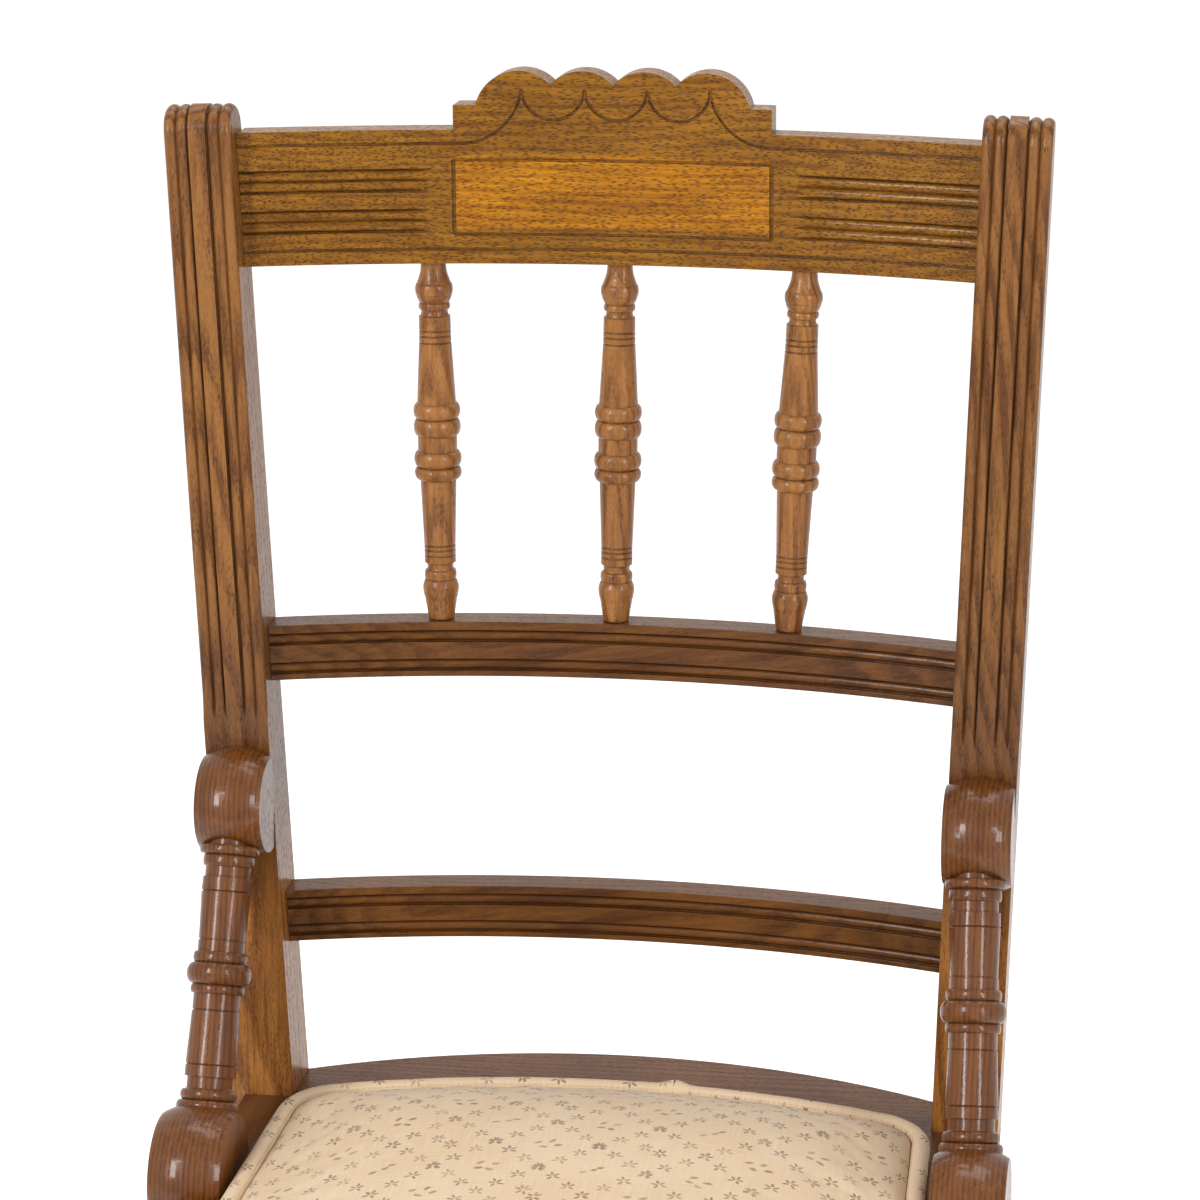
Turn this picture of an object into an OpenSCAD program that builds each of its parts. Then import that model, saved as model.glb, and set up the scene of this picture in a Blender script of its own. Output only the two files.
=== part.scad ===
// Oak dining chair with a bowed, reeded back, hip rests and a padded seat.
// Millimetres, +Z up, the sitter faces -Y, origin on the floor under the middle of the box.

/* [Seat frame] */
// Height of the seat frame top above the floor
seat_h = 430; // [400:5:460]
// Thickness of the seat frame boards
frame_t = 25; // [20:0.5:32]
// Half width of the seat frame at the back
frame_back_half = 194; // [186:1:199]
// Half width of the seat frame where the front rail starts
frame_front_half = 204; // [200:1:212]
// Half width of the opening in the seat frame
frame_open_half = 124; // [105:1:135]
// Depth from the post fronts to the front rail
side_rail_run = 280; // [265:5:310]
// Depth of the front rail at its middle
front_rail_d = 70; // [62:1:82]
// Rounding of the two front corners
front_corner_r = 32; // [15:1:40]
// Bow radius of the front edge
front_bow_r = 1430; // [1100:10:3000]
// Depth of the back rail at the posts
back_rail_end_d = 34; // [30:0.5:36]
// Depth of the back rail at its middle
back_rail_mid_d = 71; // [60:1:85]

/* [Back posts] */
// Height of the posts above the seat frame
post_rise = 522; // [500:2:545]
// Width of a post seen from the front
post_w = 34; // [31:0.5:38]
// Clear half width between the posts at seat level
half_gap = 168; // [160:1:176]
// Sideways spread for each unit of height
splay_share = 0.0346; // [0.02:0.0002:0.045]
// Backward lean at seat level for each unit of height
lean_share = 0.0451; // [0.03:0.0001:0.07]
// Radius of the gentle backward bend above the seat
bend_r = 15600; // [9000:100:40000]
// Depth of a post at seat level
post_seat_d = 34.8; // [32:0.2:38]
// Depth of a post at its rounded top
post_top_d = 26; // [24:0.5:29]
// Depth of a post at the foot
post_foot_d = 28; // [24:0.5:34]
// How far the leg bend carries the foot back
leg_sweep = 66; // [45:1:75]
// Width of one bead on the posts
post_bead_w = 6; // [5:0.1:6.4]
// Width of the flat between the bead pairs
post_flat_w = 10; // [8:0.2:11]
// Depth of the quirks beside the beads
quirk_d = 2; // [1:0.1:2.4]
// Radius of the moulding cutter where it runs out
cutter_r = 60; // [30:1:90]
// Height above the seat where the post beads have run out
post_bead_end_z = 207; // [200:1:225]

/* [Back rails] */
// Bow radius of the rail fronts
rail_bow_r = 604; // [520:2:900]
// Distance of the rail fronts behind the post fronts
rail_setback = 12.4; // [8:0.2:13]
// Thickness of the crest rail
crest_t = 18; // [15:0.5:20]
// Height of the crest rail at the posts
crest_h = 67.5; // [62:0.5:72]
// Height of the crest rail bottom above the seat frame
crest_z = 440.4; // [428:0.2:446]
// Thickness of the middle and lower rails
rail_t = 17.4; // [14:0.2:19]
// Height of the middle rail
mid_h = 29; // [25:0.5:34]
// Height of the middle rail bottom above the seat frame
mid_z = 225; // [215:0.5:235]
// Height of the lower rail
low_h = 28; // [24:0.5:34]
// Height of the lower rail bottom above the seat frame
low_z = 82.4; // [75:0.2:95]

/* [Crest ornament] */
// Half width of the raised step
step_half = 80; // [76:0.5:84]
// Height of the step above the crest bottom
step_top = 79.8; // [76:0.2:84]
// Radius of each of the four lobes
lobe_r = 22; // [19:0.1:23]
// Spacing of the lobes
lobe_pitch = 31.6; // [30:0.2:33]
// Height of the lobe tops above the crest bottom
lobe_top = 96.9; // [93:0.1:101]
// Half width of the incised panel
panel_half = 80; // [70:0.2:84]
// Height of the panel bottom line
panel_bottom = 15; // [12:0.1:18]
// Height of the panel top line
panel_top = 52.4; // [48:0.2:55]
// Half width left plain between the bead bands
bead_free_half = 91; // [86:0.5:100]
// Width of one bead on the crest rail
crest_bead_w = 5.4; // [5:0.1:6.2]
// Height of the middle of the lower bead band
low_band_z = 21.8; // [20:0.1:24]
// Height of the middle of the upper bead band
high_band_z = 42.1; // [40:0.1:45]
// Height of the fine line along the crest bottom
base_line_z = 7.4; // [6:0.1:9.5]
// Height of the points between the incised swags
swag_tip_z = 86.6; // [82:0.2:88]
// Height of the lowest point of each swag
swag_dip_z = 72.6; // [68:0.2:75]
// Depth of the incised lines
line_d = 1.1; // [0.6:0.1:1.5]

/* [Turned pieces] */
// Greatest radius of a back spindle
spindle_r = 12.1; // [10:0.1:14]
// Sideways place of the outer spindles on the crest rail
spindle_top_x = 94.4; // [85:0.2:105]
// Sideways place of the outer spindles on the middle rail
spindle_low_x = 90; // [82:0.5:100]
// Sideways drift of all spindles on the crest rail
spindle_top_drift = 1.8; // [-4:0.2:4]
// Sideways drift of all spindles on the middle rail
spindle_low_drift = -1.2; // [-4:0.2:4]
// Greatest radius of the hip rest turning
hip_turn_r = 16.6; // [15:0.2:18]
// Length of the hip rest turning
hip_turn_len = 136; // [128:1:142]
// Forward slope of the hip rest
hip_slope = 26; // [23:0.2:28]
// Outward slope of the hip rest
hip_out = 1.4; // [0:0.1:3]
// Radius of the upper hip rest knob
hip_top_r = 30; // [27:0.5:32]
// Radius of the lower hip rest knob
hip_low_r = 35.8; // [33:0.2:38]
// Thickness of the upper hip rest knob
hip_top_w = 34.4; // [31:0.2:36]
// Thickness of the lower hip rest knob
hip_low_w = 37; // [34:0.2:40]
// Greatest radius of a front leg
leg_r = 21; // [18:0.5:24]
// Greatest radius of a stretcher
stretcher_r = 12.5; // [10:0.5:15]

/* [Seat pad] */
// Height of the pad at its middle above the seat frame
pad_crown = 38; // [28:1:50]
// Height of the pad shoulder above the seat frame
pad_shoulder = 16; // [12:0.5:22]
// Radius of the piping round the pad
welt_r = 4.7; // [3.5:0.1:6]
// Place of the middle of the pad back edge behind the post fronts
pad_back_y = 24; // [16:1:34]
// Bow radius of the pad back edge
pad_back_r = 480; // [400:10:700]
// Rounding of the back corners of the pad
pad_back_corner_r = 34; // [26:1:36]
// Half width of the pad across its back corners
pad_back_half = 170; // [164:1:173]
// Rounding of the front corners of the pad
pad_front_corner_r = 40; // [30:1:50]
// Half width of the pad across its front corners
pad_front_half = 180; // [174:1:186]
// Place of the front corner centres in front of the post fronts
pad_front_centre = 280; // [265:1:292]
// Bow radius of the pad front edge
pad_front_r = 1200; // [900:10:3000]
// Thickness of the board under the pad
board_t = 9; // [6:0.5:11]

/* [Hidden] */

// Fits and cutter overrun
fit = 0.15;
soft_gap = 0.3;
end_gap = 1;
over = 5;
round_n = 72;

// Joints
tenon_t = 8;
tenon_len = 18;
tenon_root = 4;
tenon_step = 2;
crest_tenon_inset = 10;
rail_tenon_inset = 5;
peg_r = 5;
peg_len = 12;
stretcher_pin_r = stretcher_r * 0.52;
stretcher_pin_len = 15;
leg_pin_r = 12;
leg_pin_len = 19;
seat_tenon_t = 12;
seat_tenon_inset = 6;
seat_tenon_front = 18.5;
seat_tenon_back = 5;
dowel_r = 4;
dowel_len = 28;
screw_r = 2.2;
screw_head_r = 4;
screw_head_h = 2.6;
plug_r = 5;
plug_h = 5;
quirk_w = 0.6;
crown_drop = 0.15;
runout_lap = 0.3;
runout_step = 0.08;
line_w = 1.5;
panel_side_w = 2;
dot_r = 1.2;
swag_shift = 1.6;
top_line_z = 60.6;
rail_bead_w = 5.2;
rail_bead_shares = [0.21, 0.74];
spindle_end_gap = 0.3;
back_dowel_shares = [0.3, 0.75];
front_dowel_shares = [0.25, 0.72];
corner_drop = 14;
board_screw_in = 17;
board_screw_shares = [0.25, 0.75];
board_screw_side_share = 0.55;
screw_bite = 20;
outline_n = 14;
knob_n = 14;
top_n = 18;
outline_skip = 12;
bend_fine = 20;
bow_fine = 2;

// Derived places, measured from the post fronts at seat frame level
lean = atan(lean_share);
splay = atan(splay_share);
bend_cy = bend_r * cos(lean);
bend_cz = -bend_r * sin(lean);
post_top_r = post_top_d / 2;
top_angle = asin((post_rise - post_top_r - bend_cz) / (bend_r - post_top_r));
top_cy = bend_cy - (bend_r - post_top_r) * cos(top_angle);
top_cz = bend_cz + (bend_r - post_top_r) * sin(top_angle);
band_off = post_flat_w / 2 + post_bead_w;
runout = sqrt(2 * cutter_r * quirk_d);
band_cut_z = post_bead_end_z + runout;

function front_up(z) = bend_cy - sqrt(bend_r * bend_r - (z - bend_cz) * (z - bend_cz));
function front_down(z) = lean_share * z + leg_sweep * (z / seat_h) * (z / seat_h);
function front_y(z) = z < 0 ? front_down(z) : front_up(z);
function depth_y(z) = z < 0
    ? post_seat_d + (post_foot_d - post_seat_d) * (-z / seat_h)
    : post_seat_d + (post_top_d - post_seat_d) * (z / post_rise);
function tilt_at(z) = asin((z - bend_cz) / bend_r);
function gap_at(z) = half_gap + splay_share * z;
function post_mid_x(z) = gap_at(z) + post_w / 2;

crest_tilt = tilt_at(crest_z + crest_h / 2);
mid_tilt = tilt_at(mid_z + mid_h / 2);
low_tilt = tilt_at(low_z + low_h / 2);
crest_end = gap_at(crest_z);
mid_end = gap_at(mid_z);
low_end = gap_at(low_z);

// Centre of a rail bow in front of the post fronts, and the front of the rail at x
function bow_c(x_end) = rail_setback - sqrt(rail_bow_r * rail_bow_r - x_end * x_end);
function rail_front(x_end, x) = bow_c(x_end) + sqrt(rail_bow_r * rail_bow_r - x * x);

// The rearmost point is a lobe top, the foremost the middle of the front rail
lobe_x = lobe_pitch / 2;
crest_back = rail_front(crest_end, lobe_x) + crest_t;
rear_y = front_y(crest_z) + crest_back * cos(crest_tilt) + lobe_top * sin(crest_tilt);
front_edge = side_rail_run + front_rail_d;
y_shift = (front_edge - rear_y) / 2;

// Spindle ends in the middle of the rail thickness
function crest_pt(x) = [x,
    front_y(crest_z) + (rail_front(crest_end, x) + crest_t / 2) * cos(crest_tilt),
    crest_z - (rail_front(crest_end, x) + crest_t / 2) * sin(crest_tilt)];
function mid_pt(x) = [x,
    front_y(mid_z) + (rail_front(mid_end, x) + rail_t / 2) * cos(mid_tilt) + mid_h * sin(mid_tilt),
    mid_z - (rail_front(mid_end, x) + rail_t / 2) * sin(mid_tilt) + mid_h * cos(mid_tilt)];

// Hip rest line, from the top of its turning to the lower knob
hip_z = 148.7;
hip_y = -17.4;
hip_x = 190.6;
hip_rise = 15.5;
hip_low_x = 195;
hip_knob_y = -95;
hip_knob_z = 1;
hip_root = 12;
hip_top_back = 6;

// Front legs and stretchers
leg_x = 178;
leg_y = -(side_rail_run + front_rail_d / 2);
leg_top = seat_h - frame_t;
front_high = 240;
front_low = 150;
side_high = 210;
side_low = 120;
back_high = 180;

// Profile rows: start, end, radius at start, radius at end, swell, all as shares
spindle_shares = [
    [0, 0.027, 0.565, 0.55, -0.01], [0.027, 0.112, 0.55, 0.6, 0.26],
    [0.112, 0.131, 0.6, 0.6, 0.06], [0.131, 0.149, 0.59, 0.63, -0.05],
    [0.149, 0.186, 0.66, 0.67, 0], [0.186, 0.191, 0.67, 0.67, -0.05],
    [0.191, 0.201, 0.67, 0.67, 0], [0.201, 0.206, 0.67, 0.67, -0.05],
    [0.206, 0.219, 0.675, 0.675, 0], [0.219, 0.224, 0.675, 0.675, -0.05],
    [0.224, 0.391, 0.68, 0.82, 0], [0.391, 0.434, 0.82, 0.82, 0.17],
    [0.434, 0.482, 0.82, 0.82, 0.17], [0.482, 0.525, 0.82, 0.82, 0.01],
    [0.525, 0.569, 0.82, 0.82, 0.18], [0.569, 0.605, 0.82, 0.8, 0.18],
    [0.605, 0.788, 0.76, 0.665, 0], [0.788, 0.793, 0.665, 0.665, -0.05],
    [0.793, 0.801, 0.665, 0.665, 0], [0.801, 0.806, 0.665, 0.665, -0.05],
    [0.806, 0.817, 0.665, 0.665, 0], [0.817, 0.822, 0.665, 0.665, -0.05],
    [0.822, 0.84, 0.665, 0.665, 0], [0.84, 0.862, 0.62, 0.6, -0.06],
    [0.862, 0.889, 0.62, 0.62, 0.06], [0.889, 0.973, 0.6, 0.55, 0.22],
    [0.973, 1, 0.55, 0.558, -0.01]];
hip_shares = [
    [0, 0.035, 0.85, 0.85, 0.076], [0.035, 0.081, 0.74, 0.74, 0.055],
    [0.081, 0.121, 0.71, 0.72, -0.05], [0.121, 0.171, 0.755, 0.765, 0],
    [0.171, 0.177, 0.765, 0.765, -0.04], [0.177, 0.354, 0.765, 0.72, 0],
    [0.354, 0.36, 0.72, 0.72, -0.04], [0.36, 0.402, 0.73, 0.73, 0],
    [0.402, 0.443, 0.77, 0.77, 0.07], [0.443, 0.524, 0.79, 0.79, 0.21],
    [0.524, 0.559, 0.77, 0.77, 0.07], [0.559, 0.617, 0.73, 0.73, 0],
    [0.617, 0.623, 0.73, 0.73, -0.04], [0.623, 0.82, 0.74, 0.79, 0],
    [0.82, 0.826, 0.79, 0.79, -0.04], [0.826, 0.868, 0.79, 0.79, 0],
    [0.868, 0.915, 0.72, 0.73, -0.05], [0.915, 0.956, 0.77, 0.77, 0.1],
    [0.956, 1, 0.85, 0.85, 0.116]];
leg_shares = [
    [0, 0.03, 0.86, 0.86, 0], [0.03, 0.1, 0.82, 0.86, 0], [0.1, 0.125, 0.86, 0.86, 0.12],
    [0.125, 0.145, 0.8, 0.78, -0.06], [0.145, 0.3, 0.78, 0.72, 0.14],
    [0.3, 0.325, 0.78, 0.78, 0.14], [0.325, 0.35, 0.82, 0.84, 0],
    [0.35, 0.53, 0.88, 0.88, 0], [0.53, 0.545, 0.82, 0.82, 0.08],
    [0.545, 0.56, 0.82, 0.82, 0.08], [0.56, 0.74, 0.88, 0.88, 0],
    [0.74, 0.765, 0.84, 0.84, 0.14],
    [0.765, 0.79, 0.78, 0.76, -0.06], [0.79, 0.815, 0.8, 0.8, 0.1],
    [0.815, 0.97, 0.76, 0.58, 0], [0.97, 1, 0.62, 0.58, 0.06]];
stretcher_shares = [
    [0, 0.05, 0.52, 0.58, 0], [0.05, 0.36, 0.58, 0.82, 0], [0.36, 0.39, 0.78, 0.78, 0.1],
    [0.39, 0.43, 0.82, 0.84, 0], [0.43, 0.47, 0.84, 0.84, 0.16], [0.47, 0.53, 0.84, 0.84, 0.02],
    [0.53, 0.57, 0.84, 0.84, 0.16], [0.57, 0.61, 0.84, 0.82, 0], [0.61, 0.64, 0.78, 0.78, 0.1],
    [0.64, 0.95, 0.82, 0.58, 0], [0.95, 1, 0.58, 0.52, 0]];
swell_n = 8;

// Pad outline from tangent arcs, drawn in by d
pad_back_cy = pad_back_y - pad_back_r;
pad_bx = pad_back_half - pad_back_corner_r;
pad_by = pad_back_cy + sqrt(pow(pad_back_r - pad_back_corner_r, 2) - pad_bx * pad_bx);
pad_fx = pad_front_half - pad_front_corner_r;
pad_fy = -pad_front_centre;
pad_front_cy = pad_fy + sqrt(pow(pad_front_r - pad_front_corner_r, 2) - pad_fx * pad_fx);
pad_back_turn = asin(pad_bx / (pad_back_r - pad_back_corner_r));
pad_front_turn = asin(pad_fx / (pad_front_r - pad_front_corner_r));
pad_side_len = norm([pad_fx - pad_bx, pad_fy - pad_by]);
pad_side_turn = atan2(pad_fy - pad_by, pad_fx - pad_bx)
    + acos((pad_back_corner_r - pad_front_corner_r) / pad_side_len);
function arc_pts(cx, cy, r, a0, a1, n) =
    [for (i = [0:n]) let (a = a0 + (a1 - a0) * i / n) [cx + r * cos(a), cy + r * sin(a)]];
function half_outline(d) = concat(
    arc_pts(0, pad_back_cy, pad_back_r - d, 90, 90 - pad_back_turn, 7),
    arc_pts(pad_bx, pad_by, pad_back_corner_r - d, 90 - pad_back_turn - outline_skip, pad_side_turn, 6),
    [for (i = [1:5]) let (s = i / 6, r = pad_back_corner_r - d, q = pad_front_corner_r - d)
        [(pad_bx + r * cos(pad_side_turn)) * (1 - s) + (pad_fx + q * cos(pad_side_turn)) * s,
         (pad_by + r * sin(pad_side_turn)) * (1 - s) + (pad_fy + q * sin(pad_side_turn)) * s]],
    arc_pts(pad_fx, pad_fy, pad_front_corner_r - d, pad_side_turn, pad_front_turn - 90, 7),
    arc_pts(0, pad_front_cy, pad_front_r - d, pad_front_turn - 90 - outline_skip / 10, -90, 5));
function flip_x(p) = [for (i = [len(p) - 2:-1:1]) [-p[i][0], p[i][1]]];
function pad_outline(d) = let (h = half_outline(d)) concat(h, flip_x(h));
pad_mid_y = (pad_back_y + pad_fy - pad_front_corner_r) / 2;
pad_edge = 2 * welt_r + soft_gap;
cover_t = 1.2;
pad_draw_in = 4;
pad_wide_z = 5;
pad_roll = 14;
board_inset = 17;
board_screw_x = frame_open_half
    + (pad_back_half - board_inset - frame_open_half) * board_screw_side_share;
roll_end = 68;
cover_rolls = [0, 24, 47, roll_end];
crown_shares = [0.84, 0.62, 0.4, 0.18];
welt_turns = [0, 45, 90, 135, 180, 225, 270, 315];

// Pad surface as closed rings of points, with skin depth t inside the face
function lift(pts, z) = [for (p = pts) [p[0], p[1], z]];
function roll_z(f, t) = pad_wide_z + (pad_shoulder - t - pad_wide_z) * sin(f);
function roll_outline(f, t) = pad_outline(pad_edge + t + pad_roll * (1 - cos(f)));
function roll_ring(f, t) = lift(roll_outline(f, t), roll_z(f, t));
function crown_z(s, t) = roll_z(roll_end, t) + (pad_crown - t - roll_z(roll_end, t)) * (1 - s * s);
function crown_ring(s, t) = [for (p = roll_outline(roll_end, t))
    [p[0] * s, pad_mid_y + (p[1] - pad_mid_y) * s, crown_z(s, t)]];
function skin_rings(t) = concat([lift(pad_outline(pad_edge + t + pad_draw_in), soft_gap)],
    [for (f = cover_rolls) roll_ring(f, t)], [for (c = crown_shares) crown_ring(c, t)]);
function turned_round(list) = [for (i = [len(list) - 1:-1:0]) list[i]];

module place() {
    translate([0, y_shift, seat_h])
        children();
}

// Local frame of a back rail: +y into the rail, +z up along its face
module rail_frame(z, tilt) {
    translate([0, front_y(z), z])
        rotate([-tilt, 0, 0])
            children();
}

// Local frame with +z running from p to q
module along(p, q) {
    d = q - p;
    translate(p)
        rotate([0, acos(d[2] / norm(d)), atan2(d[1], d[0])])
            children();
}

// Turned shape built from profile rows
module turning(rows, l, r) {
    pts = [for (row = rows) for (i = [0:swell_n])
        let (u = (1 - cos(180 * i / swell_n)) / 2)
        [(row[2] + (row[3] - row[2]) * u + row[4] * sin(180 * i / swell_n)) * r,
         (row[0] + (row[1] - row[0]) * u) * l]];
    rotate_extrude($fn = round_n)
        polygon(concat([[0, 0]], pts, [[0, l]]));
}

// Section of a moulding knife that leaves n beads of width w, cutting towards -x, g fuller all round
module bead_knife(n, w, g = 0) {
    r = (w * w / 4 + quirk_d * quirk_d) / (2 * quirk_d);
    difference() {
        translate([-quirk_d - g, -n * w / 2 - quirk_w - g])
            square([quirk_d + g + over, n * w + 2 * (quirk_w + g)]);
        for (i = [0:n - 1])
            translate([-r - crown_drop - g, (i - (n - 1) / 2) * w])
                circle(r, $fn = round_n);
    }
}

// Disc of the same knife, its rim dipping into a face at x = 0
module knife_disc(n, w) {
    translate([cutter_r - quirk_d, 0, 0])
        rotate_extrude($fn = round_n)
            translate([cutter_r - quirk_d, 0])
                mirror([1, 0])
                    bead_knife(n, w);
}

module post_outline() {
    foot = seat_h + over;
    zt = bend_cz + bend_r * sin(top_angle);
    zb = bend_cz + (bend_r - post_top_d) * sin(top_angle);
    front = concat([for (i = [0:outline_n]) let (z = -foot * (1 - i / outline_n)) [front_y(z), z]],
        [for (i = [1:outline_n - 1]) let (z = zt * i / outline_n) [front_y(z), z]]);
    back = concat(
        [for (i = [1:outline_n]) let (z = zb * (1 - i / outline_n)) [front_y(z) + depth_y(z), z]],
        [for (i = [1:outline_n]) let (z = -foot * i / outline_n) [front_y(z) + depth_y(z), z]]);
    polygon(concat(front, arc_pts(top_cy, top_cz, post_top_r, 180 - top_angle, -top_angle, top_n), back));
}

// Places a shape at a point of the post side view, +x pointing out of the wood
module at_face(x, y, z, turn) {
    translate([x, y, z])
        rotate([90, 0, 90])
            rotate([0, 0, turn])
                children();
}

// Two beads swept up the post front and over the round top, run out at both ends
module post_beads(x) {
    a0 = asin((band_cut_z - bend_cz) / bend_r);
    at_face(x, bend_cy, bend_cz, 180 - top_angle)
        rotate_extrude(angle = top_angle - a0, $fn = round_n * bend_fine)
            translate([bend_r, 0])
                bead_knife(2, post_bead_w);
    at_face(x, top_cy, top_cz, -top_angle)
        rotate_extrude(angle = 180, $fn = round_n)
            translate([post_top_r, 0])
                bead_knife(2, post_bead_w);
    at_face(x, bend_cy - bend_r * cos(a0), bend_cz + bend_r * sin(a0), 180 - a0)
        knife_disc(2, post_bead_w);
    at_face(x, top_cy + post_top_r * cos(top_angle), top_cz - post_top_r * sin(top_angle), -top_angle)
        knife_disc(2, post_bead_w);
}

// Curved bar of a bowed rail: thickness t, height h, ends past the posts
module bow_bar(x_end, r, t, z0, h, reach) {
    a = asin(reach / r);
    translate([0, bow_c(x_end), z0])
        rotate([0, 0, 90 - a])
            rotate_extrude(angle = 2 * a, $fn = round_n * bow_fine)
                translate([r, 0])
                    square([t, h]);
}

// Bead bands on a bowed rail front, from x_free out to both ends
module bow_beads(x_end, x_free, z, n, w) {
    a1 = acos((x_end + over + post_w / 2) / rail_bow_r);
    translate([0, bow_c(x_end), z])
        if (x_free > over)
            for (side = [0, 1])
                mirror([side, 0, 0])
                    bow_band(a1, acos(x_free / rail_bow_r), n, w);
        else
            bow_sweep(a1, 180 - a1, n, w);
}

module bow_sweep(a1, a2, n, w) {
    rotate([0, 0, a1])
        rotate_extrude(angle = a2 - a1, $fn = round_n * bow_fine)
            translate([rail_bow_r, 0])
                mirror([1, 0])
                    bead_knife(n, w);
}

// One band, run out at a2 by a disc a hair fuller than the sweep that it ends
module bow_band(a1, a2, n, w) {
    bow_sweep(a1, a2 + asin(runout_lap / rail_bow_r), n, w);
    rotate([0, 0, a2])
        translate([rail_bow_r + quirk_d - cutter_r, 0, 0])
            rotate_extrude(angle = 90, $fn = round_n)
                translate([cutter_r - quirk_d, 0])
                    mirror([1, 0])
                        bead_knife(n, w, runout_step);
}

// Space between the posts, drawn in by c on each side
module between_posts(c) {
    z0 = -frame_t - over;
    z1 = post_rise + post_w;
    translate([0, seat_h, 0])
        rotate([90, 0, 0])
            linear_extrude(2 * seat_h)
                polygon([[-gap_at(z0) + c, z0], [gap_at(z0) - c, z0],
                    [gap_at(z1) - c, z1], [-gap_at(z1) + c, z1]]);
}

// Straight tenons at both ends of a rail, grown by c
module rail_tenons(x_end, h, inset, c, gap) {
    for (side = [0, 1])
        mirror([side, 0, 0])
            translate([x_end - tenon_root, rail_setback + tenon_step - c, inset - c])
                cube([tenon_root + tenon_len + gap, tenon_t + 2 * c, h - 2 * inset + 2 * c]);
}

module crest_outline() {
    translate([-crest_end - post_w, 0])
        square([2 * (crest_end + post_w), crest_h]);
    translate([-step_half, 0])
        square([2 * step_half, step_top]);
    for (i = [-1.5:1.5])
        translate([i * lobe_pitch, lobe_top - lobe_r])
            circle(lobe_r, $fn = round_n);
}

// Line of the named width along a circle, kept below a height
module arc_line(x, z, r, x0, x1, z_top) {
    intersection() {
        translate([x, z])
            difference() {
                circle(r + line_w / 2, $fn = round_n);
                circle(r - line_w / 2, $fn = round_n);
            }
        translate([x0, z_top - 2 * r])
            square([x1 - x0, 2 * r]);
    }
}

module crest_lines() {
    half = lobe_pitch / 2;
    drop = swag_tip_z - swag_dip_z;
    r = (half * half + drop * drop) / (2 * drop);
    end_x = step_half - swag_shift;
    end_run = end_x - 1.5 * lobe_pitch;
    end_drop = swag_tip_z - top_line_z;
    end_r = (end_run * end_run + end_drop * end_drop) / (2 * end_drop);
    for (i = [-1:1])
        arc_line(swag_shift + i * lobe_pitch, swag_dip_z + r, r,
            swag_shift + i * lobe_pitch - half, swag_shift + i * lobe_pitch + half, swag_tip_z);
    for (side = [-1, 1])
        translate([swag_shift, 0])
            mirror([side < 0 ? 1 : 0, 0]) {
                arc_line(end_x, top_line_z + end_r, end_r, 1.5 * lobe_pitch, end_x, swag_tip_z);
                translate([end_x, top_line_z - line_w / 2])
                    square([crest_end, line_w]);
            }
    for (i = [-1.5:1.5])
        translate([swag_shift + i * lobe_pitch, swag_tip_z])
            circle(dot_r, $fn = round_n);
    translate([-crest_end - 2 * over, base_line_z - line_w / 2])
        square([2 * (crest_end + 2 * over), line_w]);
    for (z = [panel_bottom, panel_top])
        translate([-panel_half, z - line_w / 2])
            square([2 * panel_half, line_w]);
    for (side = [-1, 1])
        translate([side * panel_half - panel_side_w / 2, panel_bottom])
            square([panel_side_w, panel_top - panel_bottom]);
}

module crest_rail() {
    color("peru")
        difference() {
            union() {
                intersection() {
                    between_posts(fit);
                    rail_frame(crest_z, crest_tilt)
                        intersection() {
                            bow_bar(crest_end, rail_bow_r, crest_t, -over, lobe_top + 2 * over,
                                crest_end + post_w);
                            translate([0, seat_h, 0])
                                rotate([90, 0, 0])
                                    linear_extrude(2 * seat_h)
                                        crest_outline();
                        }
                }
                rail_frame(crest_z, crest_tilt)
                    rail_tenons(crest_end, crest_h, crest_tenon_inset, 0, 0);
            }
            rail_frame(crest_z, crest_tilt) {
                bow_beads(crest_end, bead_free_half + runout, low_band_z, 2, crest_bead_w);
                bow_beads(crest_end, bead_free_half + runout, high_band_z, 2, crest_bead_w);
                intersection() {
                    bow_bar(crest_end, rail_bow_r - over, over + line_d, -over, lobe_top + 2 * over,
                        crest_end + over);
                    translate([0, seat_h, 0])
                        rotate([90, 0, 0])
                            linear_extrude(2 * seat_h)
                                crest_lines();
                }
            }
            spindle_bores();
        }
}

// Plain bowed rail with two beads along its front
module plain_rail(z, h, x_end, tilt) {
    difference() {
        union() {
            intersection() {
                between_posts(fit);
                rail_frame(z, tilt)
                    bow_bar(x_end, rail_bow_r, rail_t, 0, h, x_end + post_w);
            }
            rail_frame(z, tilt)
                rail_tenons(x_end, h, rail_tenon_inset, 0, 0);
        }
        rail_frame(z, tilt)
            for (s = rail_bead_shares)
                bow_beads(x_end, 0, h * s, 1, rail_bead_w);
    }
}

module middle_rail() {
    color("sienna")
        difference() {
            plain_rail(mid_z, mid_h, mid_end, mid_tilt);
            spindle_bores();
        }
}

module lower_rail() {
    color("sienna")
        plain_rail(low_z, low_h, low_end, low_tilt);
}

module spindle_bores() {
    for (i = [-1:1]) {
        p = crest_pt(spindle_top_drift + i * spindle_top_x);
        q = mid_pt(spindle_low_drift + i * spindle_low_x);
        u = (p - q) / norm(p - q);
        along(q - u * (peg_len + end_gap), p + u * (peg_len + end_gap))
            cylinder(r = peg_r + fit, h = norm(p - q) + 2 * (peg_len + end_gap), $fn = round_n);
    }
}

module spindle(i) {
    p = crest_pt(spindle_top_drift + i * spindle_top_x);
    q = mid_pt(spindle_low_drift + i * spindle_low_x);
    l = norm(p - q);
    color("burlywood")
        along(p, q) {
            translate([0, 0, spindle_end_gap])
                turning(spindle_shares, l - 2 * spindle_end_gap, spindle_r);
            translate([0, 0, -peg_len])
                cylinder(r = peg_r, h = l + 2 * peg_len, $fn = round_n);
        }
}

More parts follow.
